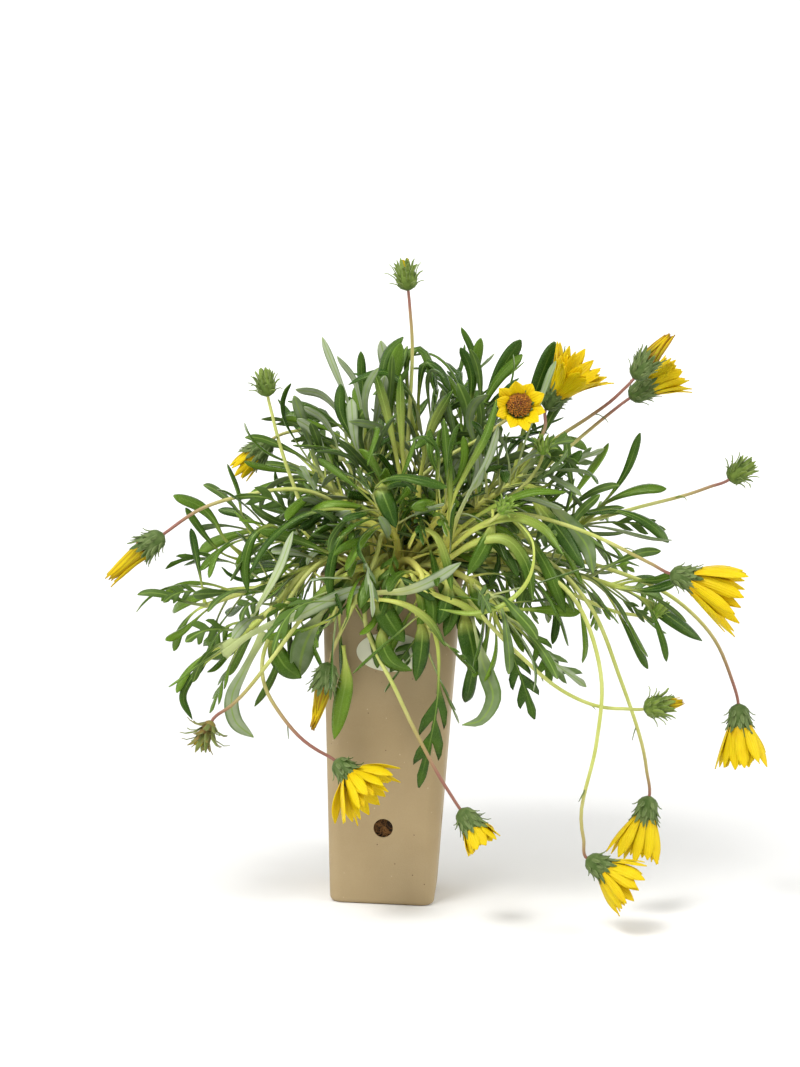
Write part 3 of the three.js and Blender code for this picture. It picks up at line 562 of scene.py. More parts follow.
# A flower's "blush" is how red its stalk is and its "size" how large its cup is. It has so many "rays",
# each "ray" long, which open by a "spread" in degrees and are "stripe" dull outside. "broad" widens
# them and leaves out the inner ring, "curve" shares out their lean from foot to tip, and "yellow" is
# how long the tuft in a bud or a withered head is.
FLOWERS = [
    {"name": "top_bud", "head": "bud", "faces": (-0.16, 0, 0.99), "blush": 0.7, "yellow": 5.5,
     "route": [(2, 0, 185), (4, 2, 215), (5, 6, 250), (5, 9, 278), (2, 10, 305)]},
    {"name": "left_bud", "head": "bud", "faces": (-0.19, 0, 0.98), "blush": 0.1, "size": 0.9,
     "route": [(-22, -3, 179), (-43, -10, 192), (-52, -9, 210), (-59, -8, 229), (-65, -8, 251)]},
    {"name": "left_back", "head": "cup", "faces": (-0.73, -0.04, -0.68), "rays": 8, "spread": 8,
     "ray": 11, "blush": 0.3,
     "route": [(-11, 7, 189), (-27, 15, 217), (-43, 20, 231), (-55, 22, 231), (-66, 21, 226)]},
    {"name": "far_left", "head": "cup", "faces": (-0.79, -0.1, -0.6), "rays": 11, "spread": 3, "ray": 19,
     "stripe": 0.4, "blush": 0.8,
     "route": [(-14, -9, 180), (-28, -19, 199), (-46, -28, 207), (-72, -35, 204), (-93, -40, 197),
               (-111, -42, 184)]},
    {"name": "facing", "head": "cup", "faces": (0.12, -0.93, 0.35), "rays": 10, "spread": 38,
     "ray": 11.5, "curve": (0.25, 1.7), "blush": 0.4, "broad": 1.15,
     "route": [(3, -6, 182), (7, -9, 206), (22, -12, 222), (42, -17, 235), (58, -22, 248)]},
    {"name": "top_right", "head": "cup", "faces": (0.53, -0.25, 0.81), "rays": 15, "spread": 31,
     "ray": 23, "blush": 0.7,
     "route": [(23, 3, 182), (43, 4, 200), (60, 5, 218), (69, 8, 230), (73, 11, 240), (73, 13, 248)]},
    {"name": "high_right", "head": "cup", "faces": (0.57, 0.11, 0.81), "rays": 11, "spread": 0,
     "ray": 17, "stripe": 0.85, "blush": 1.0,
     "route": [(23, 6, 184), (51, 10, 211), (74, 12, 230), (95, 11, 245), (106, 9, 254), (116, 8, 265)]},
    {"name": "high_right_low", "head": "cup", "faces": (0.82, 0.06, 0.57), "rays": 12, "spread": 18,
     "ray": 19, "blush": 0.8,
     "route": [(28, 2, 181), (52, 3, 200), (75, 8, 220), (92, 16, 235), (105, 22, 246), (115, 24, 254)]},
    {"name": "far_right_bud", "head": "bud", "faces": (0.76, 0.25, 0.6), "blush": 0.7, "yellow": 4.5,
     "route": [(29, 9, 173), (52, 11, 180), (77, 16, 186), (102, 20, 193), (122, 23, 199),
               (147, 28, 206), (167, 30, 214)]},
    {"name": "right", "head": "cup", "faces": (0.98, -0.01, -0.21), "rays": 13, "spread": 23,
     "ray": 23.5, "blush": 0.6,
     "route": [(25, -12, 178), (43, -20, 193), (62, -29, 199), (82, -35, 196), (101, -38, 190),
               (121, -39, 181), (136, -39, 174)]},
    {"name": "right_hanging", "head": "cup", "faces": (0.11, -0.06, -0.99), "rays": 12, "spread": 20,
     "ray": 18.5, "blush": 0.8,
     "route": [(28, 2, 171), (50, 0, 176), (78, -1, 176), (108, -3, 170), (133, -5, 161), (148, -6, 151),
               (161, -7, 137), (170, -6, 118), (174, -6, 105)]},
    {"name": "low_bud", "head": "bud", "faces": (0.97, -0.06, 0.25), "blush": 0.1, "yellow": 9,
     "route": [(14, -25, 171), (26, -37, 171), (37, -45, 160), (50, -50, 147), (65, -52, 133),
               (85, -50, 117), (104, -47, 109), (126, -43, 108)]},
    {"name": "hanging_inner", "head": "cup", "faces": (-0.15, -0.07, -0.99), "rays": 12, "spread": 17,
     "ray": 19, "blush": 0.5,
     "route": [(25, -7, 175), (50, -17, 183), (75, -25, 177), (98, -29, 155), (114, -29, 120),
               (127, -26, 84), (131, -23, 60)]},
    {"name": "lowest", "head": "cup", "faces": (0.87, -0.09, -0.48), "rays": 12, "spread": 32, "ray": 16,
     "blush": 0.5,
     "route": [(21, -17, 174), (45, -24, 181), (66, -31, 176), (90, -41, 160), (104, -49, 125),
               (103, -55, 92), (97, -59, 58), (101, -57, 36)]},
    {"name": "front_right", "head": "cup", "faces": (0.62, -0.14, -0.77), "rays": 11, "spread": 24,
     "ray": 8, "blush": 1.0,
     "route": [(-3, -21, 175), (-8, -38, 171), (-11, -47, 148), (-5, -50, 132), (4, -54, 117),
               (15, -56, 96), (28, -59, 74), (39, -60, 58)]},
    {"name": "front_left", "head": "cup", "faces": (0.76, -0.25, -0.6), "rays": 13, "spread": 42,
     "ray": 17, "blush": 1.0,
     "route": [(-15, -17, 177), (-36, -34, 171), (-54, -43, 144), (-60, -49, 126), (-58, -55, 114),
               (-50, -60, 102), (-38, -64, 90), (-22, -63, 80)]},
    {"name": "drooping", "head": "cup", "faces": (-0.22, -0.07, -0.97), "rays": 11, "spread": -1,
     "ray": 20, "stripe": 0.8, "blush": 0.4,
     "route": [(-2, -14, 181), (-5, -24, 186), (-7, -38, 177), (-14, -48, 160), (-20, -52, 146),
               (-25, -54, 134), (-27, -54, 126)]},
    {"name": "withered", "head": "withered", "faces": (-0.39, -0.15, -0.91), "blush": 0.65, "yellow": 4,
     "route": [(-10, -18, 173), (-25, -38, 168), (-42, -50, 146), (-56, -57, 126), (-69, -60, 109),
               (-83, -59, 96)]},
    {"name": "small_top_bud", "head": "small_bud", "faces": (0.01, -0.58, 0.82), "blush": 0.2,
     "route": [(23, -11, 183), (47, -13, 197), (65, -18, 214), (70, -21, 222), (72, -24, 229)]},
    {"name": "small_right_bud", "head": "small_bud", "faces": (0.54, -0.25, 0.8), "blush": 0.2,
     "route": [(28, -13, 168), (48, -15, 171), (70, -16, 167), (90, -19, 159), (112, -18, 151),
               (130, -13, 149)]},
    {"name": "small_centre_bud", "head": "small_bud", "faces": (0.47, -0.58, 0.67), "blush": 0.1,
     "route": [(16, -17, 178), (28, -26, 184), (38, -36, 191), (48, -45, 197), (53, -48, 202)]},
]
# A shoot has the "leaves" that its solid was planned with and up to "more" others among them, all of
# about the same "length".
SHOOTS = [
    {"name": "up_left", "leaves": 10, "more": 38, "length": 56,
     "route": [(-6, 4, 187), (-17, 6, 226)]},
    {"name": "up_centre", "leaves": 10, "more": 42, "length": 54,
     "route": [(9, 13, 190), (14, 22, 232)]},
    {"name": "up_right", "leaves": 10, "more": 42, "length": 54,
     "route": [(20, 11, 193), (38, 17, 235)]},
    {"name": "right_up", "leaves": 10, "more": 34, "length": 48,
     "route": [(27, -2, 186), (64, -4, 217)]},
    {"name": "right", "leaves": 10, "more": 28, "length": 48,
     "route": [(32, 5, 176), (60, 7, 183), (92, 11, 190)]},
    {"name": "far_right", "leaves": 10, "more": 24, "length": 42,
     "route": [(30, -9, 171), (60, -8, 173), (90, -9, 168), (116, -9, 161)]},
    {"name": "right_low", "leaves": 10, "more": 26, "length": 46,
     "route": [(18, -23, 171), (38, -36, 167), (57, -43, 150)]},
    {"name": "front_low", "leaves": 9, "more": 20, "length": 46,
     "route": [(5, -22, 173), (14, -38, 171), (20, -47, 152), (19, -49, 132)]},
    {"name": "front_low_left", "leaves": 10, "more": 20, "length": 44,
     "route": [(-9, -23, 170), (-17, -39, 168), (-27, -48, 146)]},
    {"name": "left_low", "leaves": 10, "more": 12, "length": 44,
     "route": [(-22, -17, 172), (-40, -28, 168), (-61, -38, 145), (-80, -44, 130)]},
    {"name": "far_left", "leaves": 10, "more": 12, "length": 40,
     "route": [(-26, -13, 172), (-59, -26, 160), (-92, -31, 148)]},
    {"name": "left", "leaves": 9, "more": 18, "length": 44,
     "route": [(-24, -9, 178), (-51, -16, 180), (-71, -20, 184)]},
    {"name": "left_up", "leaves": 10, "more": 24, "length": 48,
     "route": [(-16, 0, 186), (-42, 6, 214)]},
    {"name": "front_up_left", "leaves": 10, "more": 22, "length": 44,
     "route": [(2, -18, 181), (-4, -40, 199)]},
    {"name": "front_up_right", "leaves": 10, "more": 18, "length": 46,
     "route": [(14, -15, 182), (27, -36, 204)]},
    {"name": "back_left", "leaves": 9, "more": 20, "length": 48,
     "route": [(-12, 16, 182), (-34, 44, 200)]},
    {"name": "back", "leaves": 9, "more": 24, "length": 50,
     "route": [(2, 20, 184), (6, 50, 208)]},
    {"name": "back_right", "leaves": 9, "more": 20, "length": 50,
     "route": [(17, 19, 181), (48, 44, 203)]},
    {"name": "back_low_left", "leaves": 9, "more": 16, "length": 44,
     "route": [(-14, 22, 172), (-34, 46, 168), (-50, 60, 154)]},
    {"name": "back_low_right", "leaves": 9, "more": 16, "length": 44,
     "route": [(16, 24, 172), (40, 46, 168), (60, 58, 156)]},
]


def smooth_line(route, pieces):
    """Points spaced evenly along a smooth curve through the route."""
    ends = [2 * route[0] - route[1], *route, 2 * route[-1] - route[-2]]

    def point(t):
        k = min(int(t), len(route) - 2)
        w = t - k
        a, b, c, d = ends[k : k + 4]
        gaps = [max(np.linalg.norm(q - p) ** 0.5, 1e-4) for p, q in ((a, b), (b, c), (c, d))]
        leave = ((b - a) / gaps[0] - (c - a) / (gaps[0] + gaps[1]) + (c - b) / gaps[1]) * gaps[1]
        reach = ((c - b) / gaps[1] - (d - b) / (gaps[1] + gaps[2]) + (d - c) / gaps[2]) * gaps[1]
        return b + leave * w + (3 * (c - b) - 2 * leave - reach) * w**2 + (2 * (b - c) + leave + reach) * w**3

    turns = np.linspace(0, len(route) - 1, 201)
    fine = np.array([point(t) for t in turns])
    run = np.concatenate([[0], np.cumsum(np.linalg.norm(np.diff(fine, axis=0), axis=1))])
    even = np.interp(np.linspace(0, run[-1], pieces + 1), run, turns)
    return np.array([point(t) for t in even])


def share_holes(plans):
    """A hole in the soil for each stem, spread like seeds in a disc and shared out so that each stem
    rises on the side that it leans to."""
    holes = []
    for k in range(len(plans)):
        radius = HOLE_SPREAD * math.sqrt((k + 0.5) / len(plans))
        holes.append(np.array([radius * math.cos(k * GOLDEN_ANGLE), radius * math.sin(k * GOLDEN_ANGLE)]))
    wishes = []
    for plan in plans:
        wish = np.array(plan["route"][0][:2], float)
        wishes.append(wish * min(1, (HOLE_SPREAD + 6) / max(np.linalg.norm(wish), 1e-9)))

    def cost(i, hole):
        return float(np.sum((wishes[i] - hole) ** 2))

    changed = True
    while changed:
        changed = False
        for i in range(len(plans)):
            for j in range(i + 1, len(plans)):
                a, b = holes[i], holes[j]
                if cost(i, b) + cost(j, a) < cost(i, a) + cost(j, b) - 1e-6:
                    holes[i], holes[j] = b, a
                    changed = True
    return holes


def stem_line(hole, route, pieces):
    """Straight up out of the hole and then along the route."""
    bottom = np.array([*hole, SOIL_TOP - STEM_SINK])
    mouth = np.array([*hole, SOIL_TOP + SOIL_CROWN + 1])
    return np.vstack([bottom, smooth_line([mouth, *(np.array(p, float) for p in route)], pieces)])


holes = share_holes([*FLOWERS, *SHOOTS])
stalk_lines = [stem_line(hole, plan["route"], STALK_STEPS) for hole, plan in zip(holes, FLOWERS)]
shoot_holes = holes[len(FLOWERS) :]
shoot_lines = [stem_line(h, p["route"], 1 + 2 * len(p["route"])) for h, p in zip(shoot_holes, SHOOTS)]


class Room:
    """The space round the plant in small cells, so that no leaf grows through what stands there."""

    def __init__(self, low, high, cell):
        self.low, self.cell = np.array(low), cell
        self.size = ((np.array(high) - self.low) / cell).astype(int) + 2
        self.taken = np.zeros(self.size, bool)

    def cells(self, points):
        inside = ((points - self.low) / self.cell).astype(int)
        return tuple(np.clip(inside, 0, self.size - 1).T)

    def take(self, points):
        self.taken[self.cells(points)] = True

    def crowded(self, points):
        """The share of the points that stand in cells that are taken."""
        return self.taken[self.cells(points)].mean()


plant_low, plant_high = (np.array(corner) / MM for corner in cad_box)
room = Room(plant_low, plant_high, ROOM_CELL)
for line in [*stalk_lines, *shoot_lines]:
    for k in range(len(line) - 1):
        for share in np.arange(0, 1, 1 / max(1, np.linalg.norm(line[k + 1] - line[k]))):
            middle = line[k] * (1 - share) + line[k + 1] * share
            room.take(middle + 1.2 * np.array([(0, 0, 0), (1, 0, 0), (-1, 0, 0), (0, 1, 0), (0, -1, 0)]))
for plan, line in zip(FLOWERS, stalk_lines):
    way = np.array(plan["faces"]) / np.linalg.norm(plan["faces"])
    for lift in np.arange(0, 13 + 0.8 * plan.get("ray", 0), 1.5):
        for turn in np.arange(0, 6.28, 0.25):
            side = np.cross(way, (math.cos(turn), math.sin(turn), 0.3))
            reach = np.linspace(0, 6.5 + 0.35 * max(0, lift - 12), 6)
            room.take(line[-1] + way * lift + side / np.linalg.norm(side) * reach[:, None])

# ---------------------------------------------------------------------------------- leafy shoots
# A fleshy pale green stem with leaves all round it. A leaf is narrow and spoon-shaped on a long pale
# foot, and some are cut into lobes. It is dark and smooth above, with a groove along the midrib and
# margins that turn down, and has a silver-white felt and a raised rib below.
LEAF_LENGTH = 50
LEAF_HALF = 3.0
LEAF_THICKNESS = 0.42
LEAF_GROOVE = 0.16
LEAF_SHOULDER = 0.2
LEAF_MARGIN = 0.62
LEAF_RIB = 0.75
LEAF_STEPS = 12
POT_CLEARANCE = 4
SHOOT_FOOT = 2.2
SHOOT_TIP = 1.2
FIRST_LEAF = 0.38
CROWN_LEAVES = 4
# Rows of an outline: the place along the leaf, and for the left and right edge the share of the
# half width and how far the edge leans forward.
PLAIN = [
    (0, 0.62, 0, 0.62, 0), (0.08, 0.4, 0, 0.4, 0), (0.22, 0.27, 0, 0.27, 0), (0.38, 0.33, 0, 0.33, 0),
    (0.52, 0.58, 0, 0.58, 0), (0.65, 0.84, 0, 0.84, 0), (0.77, 1, 0, 1, 0), (0.88, 0.96, 0, 0.96, 0),
    (0.955, 0.66, 0, 0.66, 0), (1, 0.14, 0, 0.14, 0),
]
LOBED = [
    (0, 0.6, 0, 0.6, 0), (0.1, 0.36, 0, 0.36, 0), (0.26, 0.25, 0, 0.25, 0), (0.4, 0.24, 0, 0.22, 0),
    (0.44, 1.7, 0.1, 0.24, 0), (0.475, 1.62, 0.17, 0.26, 0), (0.515, 0.28, 0, 1.9, 0.09),
    (0.55, 0.28, 0, 1.8, 0.16), (0.595, 0.3, 0, 0.3, 0), (0.64, 1.95, 0.08, 0.3, 0),
    (0.675, 1.85, 0.15, 0.34, 0), (0.725, 0.4, 0, 1.7, 0.07), (0.76, 0.44, 0, 1.6, 0.12),
    (0.83, 0.56, 0, 0.54, 0), (0.93, 0.7, 0, 0.7, 0), (1, 0.14, 0, 0.14, 0),
]
BASAL = [
    (0, 1, 0, 1, 0), (0.07, 0.76, 0, 0.76, 0), (0.15, 0.58, 0, 0.58, 0), (0.23, 0.48, 0, 0.48, 0),
    (0.31, 0.43, 0, 0.43, 0), (0.39, 0.42, 0, 0.42, 0), (0.47, 0.47, 0, 0.47, 0), (0.55, 0.58, 0, 0.58, 0),
    (0.63, 0.74, 0, 0.74, 0), (0.71, 0.9, 0, 0.9, 0), (0.79, 1, 0, 1, 0), (0.87, 0.92, 0, 0.92, 0),
    (0.94, 0.64, 0, 0.64, 0), (1, 0.1, 0, 0.1, 0),
]
OVAL = [
    (0, 0.24, 0, 0.24, 0), (0.09, 0.2, 0, 0.2, 0), (0.18, 0.3, 0, 0.3, 0), (0.27, 0.54, 0, 0.54, 0),
    (0.37, 0.82, 0, 0.82, 0), (0.48, 0.98, 0, 0.98, 0), (0.59, 1, 0, 1, 0), (0.7, 0.94, 0, 0.94, 0),
    (0.81, 0.78, 0, 0.78, 0), (0.91, 0.5, 0, 0.5, 0), (1, 0.06, 0, 0.06, 0),
]
STRAP_WIDTHS = (
    0.8, 0.66, 0.56, 0.5, 0.46, 0.45, 0.46, 0.5, 0.56, 0.64, 0.72,
    0.8, 0.87, 0.93, 0.97, 1, 1, 0.96, 0.86, 0.68, 0.42, 0.08,
)
STRAP = [(k / 21, w, 0, w, 0) for k, w in enumerate(STRAP_WIDTHS)]
LEAF_DARK = (0.018, 0.058, 0.005, 1)
LEAF_BRIGHT = (0.13, 0.235, 0.016, 1)
LEAF_FOOT = (0.50, 0.56, 0.12, 1)
LEAF_MIDRIB = (0.22, 0.33, 0.06, 1)
FELT_SILVER = (0.38, 0.44, 0.28, 1)
FELT_GREEN = (0.08, 0.15, 0.02, 1)
FELT_FOOT = (0.48, 0.55, 0.23, 1)
STEM_GREEN = (0.44, 0.52, 0.09, 1)
STEM_PALE = (0.64, 0.66, 0.20, 1)
STEM_PINK = (0.62, 0.38, 0.17, 1)
# The crown's pale yellow is painted light: it lightens stems and leaf feet round CROWN_MIDDLE, where the
# crown lies in shade.
CROWN_PAINTED_LIGHT = (0.80, 0.76, 0.17, 1)
CROWN_MIDDLE = (8, -10, 176)
# Leaves that lie apart from the rest: the shoot that each is on, its outline, its width, its tone,
# the ways that its upper side faces at foot and tip, and the points that it passes. One that is
# "pale" stays pale far along; the tone also says which undersides are silver.
APART = [
    ("front_low", "lobed", 6.6, 0.12, (0, -1, 0.4), (0.1, -1, 0.1), 1,
     [(21, -48, 150), (25, -52, 136), (26, -53, 117), (24, -52, 96), (18, -51, 66)]),
    ("front_low_left", "oval", 13, 0.5, (-0.3, 0.9, 0.3), (-0.4, 0.9, 0.1), 1,
     [(-30, -42, 152), (-36, -44, 143), (-41, -44, 131), (-43, -42, 116)]),
    ("front_low_left", "oval", 10, 0.3, (0, -0.8, 0.6), (-0.4, -0.9, 0.2), 1,
     [(-58, -39, 140), (-55, -43, 131), (-49, -46, 122), (-41, -47, 117)]),
    ("front_low_left", "oval", 8.5, 0.95, (0.2, -1, 0.3), (-0.2, -1, 0.1), 1,
     [(-21, -47, 134), (-19, -51, 119), (-21, -51, 105), (-24, -50, 88)]),
    ("left_low", "strap", 7.5, 0.39, (0.3, 0.9, 0.4), (-0.5, 0.8, -0.3), 1,
     [(-60, -41, 138), (-69, -45, 120), (-75, -46, 106), (-73, -46, 94), (-64, -44, 86)]),
    ("left_low", "strap", 4, 0.1, (-0.3, -0.6, 0.8), (0.6, -0.7, -0.2), 1,
     [(-77, -43, 131), (-89, -45, 122), (-97, -44, 111), (-99, -44, 104), (-94, -46, 94)]),
    ("right_low", "oval", 10, 0.497, (0.3, 0.9, 0.3), (0.6, 0.5, -0.6), 1,
     [(41, -44, 150), (44, -48, 138), (49, -49, 124), (53, -48, 111), (47, -50, 100), (38, -52, 98)]),
    ("right_low", "lobed", 6.5, 0.1, (0.2, -0.9, 0.5), (0.3, -0.9, 0.2), 1,
     [(50, -41, 154), (58, -44, 138), (65, -45, 123), (73, -45, 101)]),
    ("right_low", "lobed", 6, 0.35, (0.3, -0.8, 0.6), (0.3, -0.9, 0.1), 1,
     [(55, -42, 151), (67, -42, 145), (76, -42, 134), (80, -42, 118)]),
    ("front_up_right", "basal", 4.8, 0.3, (0.2, -1, 0.3), (-0.4, -0.9, 0.2), 0.7,
     [(24, -26, 172), (28, -36, 188), (28, -42, 210), (26, -45, 228), (24, -46, 246)]),
    ("front_up_right", "basal", 5.4, 0.45, (-0.3, -0.9, 0.3), (-0.6, -0.7, 0.4), 0.62,
     [(26, -30, 178), (28, -40, 202), (36, -44, 222), (44, -47, 238), (49, -49, 256)]),
    ("front_up_right", "basal", 6.5, 0.13, (-0.5, 0.5, 0.3), (-0.8, 0.6, 0.2), 0.8,
     [(27, -32, 186), (36, -40, 208), (45, -42, 226), (50, -41, 243)]),
    ("right_low", "strap", 7, 0.6, (-0.2, -0.8, 0.7), (0.3, -0.5, 0.9), 0.5,
     [(20, -27, 171), (31, -36, 184), (44, -42, 195), (60, -45, 200), (74, -46, 195), (84, -46, 182)]),
    ("right_low", "strap", 6.5, 0.3, (-0.2, -0.9, 0.4), (0.3, -0.8, 0.5), 0.6,
     [(19, -29, 168), (29, -40, 178), (42, -46, 187), (56, -48, 189), (66, -50, 178), (70, -51, 160)]),
    ("right_low", "basal", 6, 0.7, (-0.2, -0.8, 0.6), (0.5, -0.4, 0.8), 0.7,
     [(21, -24, 176), (34, -31, 192), (50, -37, 204), (68, -40, 212), (84, -40, 212)]),
    ("right_low", "strap", 3.0, 0.8, (0.6, -0.5, 0.6), (-0.3, -0.8, 0.6), 0.45,
     [(60, -45, 200), (69, -50, 188), (68, -53, 172), (58, -56, 160), (42, -57, 154), (25, -56, 155)]),
    ("front_low_left", "strap", 6, 0.27, (0.1, 0.9, 0.3), (0.3, 0.8, 0.4), 0.62,
     [(-18, -44, 158), (-4, -50, 161), (9, -53, 163), (22, -55, 169), (35, -56, 178)]),
    ("front_low_left", "strap", 4.4, 0.15, (0, -0.8, 0.6), (0.2, -0.8, 0.6), 0.5,
     [(-18, -45, 155), (-4, -52, 158), (10, -55, 156), (21, -57, 149), (29, -57, 137)]),
    ("left_low", "strap", 6.5, 0.13, (0.1, 0.9, 0.2), (0.4, 0.8, 0.5), 0.6,
     [(-79, -48, 127), (-68, -53, 137), (-56, -54, 144), (-43, -54, 149), (-30, -54, 156), (-17, -53, 162),
      (-8, -52, 164)]),
    ("left_low", "basal", 5.5, 0.27, (0.4, 0.6, 0.2), (0.6, 0.7, 0), 0.5,
     [(-80, -46, 129), (-70, -52, 140), (-59, -56, 158), (-51, -57, 174), (-46, -56, 190)]),
    ("far_left", "plain", 4.5, 0.05, (-0.4, -0.9, 0), (-0.4, -0.9, 0), 1,
     [(-91, -32, 149), (-93, -36, 163), (-96, -37, 177), (-98, -37, 187)]),
    ("left", "plain", 6, 0.45, (-0.5, -0.8, 0.2), (0, -0.8, 0.6), 1,
     [(-74, -20, 172), (-83, -25, 181), (-88, -27, 190), (-95, -28, 197), (-108, -29, 202)]),
    ("left", "plain", 3.8, 0.2, (-0.3, -0.8, 0.4), (0.1, -0.9, 0.3), 1,
     [(-74, -22, 170), (-84, -26, 174), (-91, -27, 181), (-97, -28, 189), (-102, -28, 196)]),
    ("right", "plain", 4.4, 0.1, (-0.6, -0.7, 0.3), (0.2, -0.9, 0.3), 1,
     [(90, 10, 190), (104, 8, 203), (114, 6, 219), (120, 6, 238)]),
    ("front_up_left", "oval", 9, 0.08, (-0.1, -0.8, 0.5), (0.2, -0.9, 0.2), 1,
     [(-6, -40, 205), (-6, -46, 212), (-3, -50, 207), (3, -52, 193)]),
    ("front_up_left", "oval", 7.5, 0.02, (0, -0.4, 0.9), (0.2, -0.5, 0.9), 1,
     [(-8, -40, 203), (-3, -45, 212), (5, -47, 215), (13, -47, 210)]),
    ("up_left", "basal", 5.2, 0.12, (-0.2, -0.9, 0.2), (-0.4, -0.8, 0.4), 0.5,
     [(6, -12, 196), (1, -16, 220), (-5, -17, 244), (-12, -16, 266)]),
    ("up_left", "basal", 4.6, 0.2, (0, -1, 0.1), (0.1, -0.9, 0.3), 0.5,
     [(8, -12, 196), (4, -18, 220), (2, -20, 244), (1, -19, 264)]),
    ("up_centre", "basal", 5, 0.1, (0.2, -0.9, 0.2), (0.5, -0.8, 0.3), 0.5,
     [(11, -12, 196), (13, -18, 218), (18, -21, 240), (27, -23, 258)]),
    ("front_up_right", "strap", 3.2, 0.13, (-0.9, -0.3, 0.1), (-0.4, -0.4, 0.8), 0.8,
     [(24, -38, 196), (22, -43, 214), (21, -45, 230), (15, -47, 237), (6, -48, 234)]),
    ("front_up_left", "plain", 7, 0.15, (0.1, -0.5, 0.9), (0.1, -0.6, 0.8), 1,
     [(-5, -40, 198), (-8, -48, 212), (2, -54, 218), (16, -57, 217), (27, -57, 214)]),
    ("front_low", "oval", 11, 0.2, (0.1, -0.8, 0.6), (0.3, -0.9, 0.2), 1,
     [(-9, -44, 162), (-4, -50, 156), (2, -53, 147), (9, -54, 138)]),
    ("front_low", "oval", 8, 0.3, (-0.1, -0.9, 0.3), (0.1, -0.8, -0.4), 1,
     [(0, -46, 150), (-2, -52, 138), (3, -54, 128), (13, -54, 124)]),
    ("front_low", "oval", 8, 0.1, (0.2, -0.9, 0.3), (0.1, -1, 0), 1,
     [(13, -45, 152), (17, -51, 144), (17, -53, 133), (15, -53, 119)]),
    ("front_low", "oval", 7.5, 0.05, (0.1, -0.9, 0.4), (-0.1, -1, 0.1), 1,
     [(26, -44, 170), (29, -49, 164), (28, -52, 156), (25, -53, 147)]),
    ("front_low", "oval", 12, 0.12, (0.3, -0.9, 0.3), (0.5, -0.8, 0), 1,
     [(36, -40, 156), (38, -46, 148), (41, -49, 138), (44, -49, 124)]),
    ("front_up_right", "oval", 7.5, 0.35, (0.5, -0.7, 0.4), (0.2, -0.9, 0.2), 1,
     [(49, -38, 202), (49, -44, 193), (45, -48, 183), (38, -50, 171)]),
    ("front_up_left", "strap", 5, 0.1, (0, -0.8, 0.6), (0.3, -0.8, 0.5), 1,
     [(-4, -36, 190), (-14, -44, 194), (-24, -50, 186), (-28, -53, 170), (-27, -54, 156)]),
    ("front_up_left", "strap", 4.5, 0.35, (0, -0.7, 0.7), (0.2, -0.9, 0.3), 0.6,
     [(8, -34, 182), (14, -43, 192), (22, -50, 190), (28, -54, 178), (31, -56, 164)]),
    ("front_up_left", "strap", 4.5, 0.08, (0, -0.6, 0.8), (-0.4, -0.7, 0.6), 1,
     [(-6, -36, 192), (-24, -42, 200), (-44, -46, 196), (-60, -48, 182), (-68, -48, 166)]),
    ("left", "strap", 5, 0.2, (0, -0.7, 0.7), (0, -0.9, 0.3), 1,
     [(-52, -26, 180), (-58, -36, 190), (-66, -44, 186), (-70, -47, 172), (-68, -48, 158)]),
    ("front_low_left", "oval", 9, 0.2, (0, -0.8, 0.6), (-0.2, -0.9, 0.2), 1,
     [(-12, -36, 172), (-18, -43, 168), (-24, -46, 159), (-27, -47, 147)]),
    ("front_low", "oval", 8.5, 0.35, (0.1, -0.8, 0.5), (-0.1, -0.9, 0.2), 0.9,
     [(0, -34, 172), (-4, -42, 171), (-9, -46, 162), (-12, -48, 150)]),
    ("front_low", "strap", 5, 0.6, (0, -0.8, 0.6), (0.1, -0.9, 0.2), 0.7,
     [(8, -36, 169), (10, -43, 171), (14, -47, 164), (17, -49, 153), (15, -50, 143)]),
    ("front_low", "oval", 9, 0.12, (0.1, -0.8, 0.6), (0.2, -0.9, 0.2), 1,
     [(20, -36, 171), (25, -42, 169), (30, -45, 160), (33, -47, 149)]),
    ("front_low", "strap", 4.5, 0.75, (0, -0.7, 0.7), (0.3, -0.8, 0.4), 0.55,
     [(14, -38, 167), (20, -44, 169), (29, -47, 166), (38, -47, 159), (44, -46, 149)]),
    ("front_low_left", "strap", 4.5, 0.5, (0, -0.7, 0.7), (-0.3, -0.8, 0.4), 0.6,
     [(-6, -38, 169), (-14, -44, 171), (-24, -47, 167), (-34, -47, 158), (-40, -45, 147)]),
    ("front_low", "oval", 8, 0.2, (0.1, 0.9, 0.3), (0, 0.9, 0.1), 0.9,
     [(2, -38, 167), (4, -43, 167), (5, -46, 159), (3, -48, 148)]),
    ("right_low", "oval", 8.5, 0.3, (0.2, -0.8, 0.6), (0.3, -0.9, 0.2), 1,
     [(34, -34, 169), (40, -38, 167), (44, -41, 159), (45, -43, 146)]),
    ("right_up", "oval", 9, 0.05, (0.2, -0.7, 0.7), (0.3, -0.8, 0.5), 1,
     [(64, -8, 210), (72, -22, 202), (84, -29, 189), (95, -32, 173)]),
    ("right_up", "oval", 8.5, 0.36, (-0.2, 0.8, 0.3), (-0.3, 0.8, 0.2), 1,
     [(72, -6, 206), (84, -16, 196), (95, -22, 184), (99, -24, 170)]),
    ("right_up", "strap", 7, 0.3, (0.3, -0.8, 0.4), (0.2, -0.9, 0.2), 1,
     [(56, -22, 200), (67, -32, 188), (77, -38, 173), (86, -40, 153)]),
    ("right", "plain", 6.5, 0.4, (-0.1, -0.7, 0.7), (0.1, -0.7, 0.7), 1,
     [(92, 9, 190), (101, 6, 200), (112, 4, 207), (124, 2, 211), (134, 1, 211)]),
    ("right", "plain", 7, 0.1, (0, -0.6, 0.8), (0.4, -0.7, 0.6), 1,
     [(92, 9, 190), (103, 2, 199), (117, -2, 198), (129, -4, 192), (136, -5, 185)]),
    ("far_right", "plain", 7, 0.08, (0, -0.5, 0.9), (0, -0.6, 0.8), 1,
     [(110, -9, 163), (120, -14, 162), (130, -17, 164), (140, -19, 168)]),
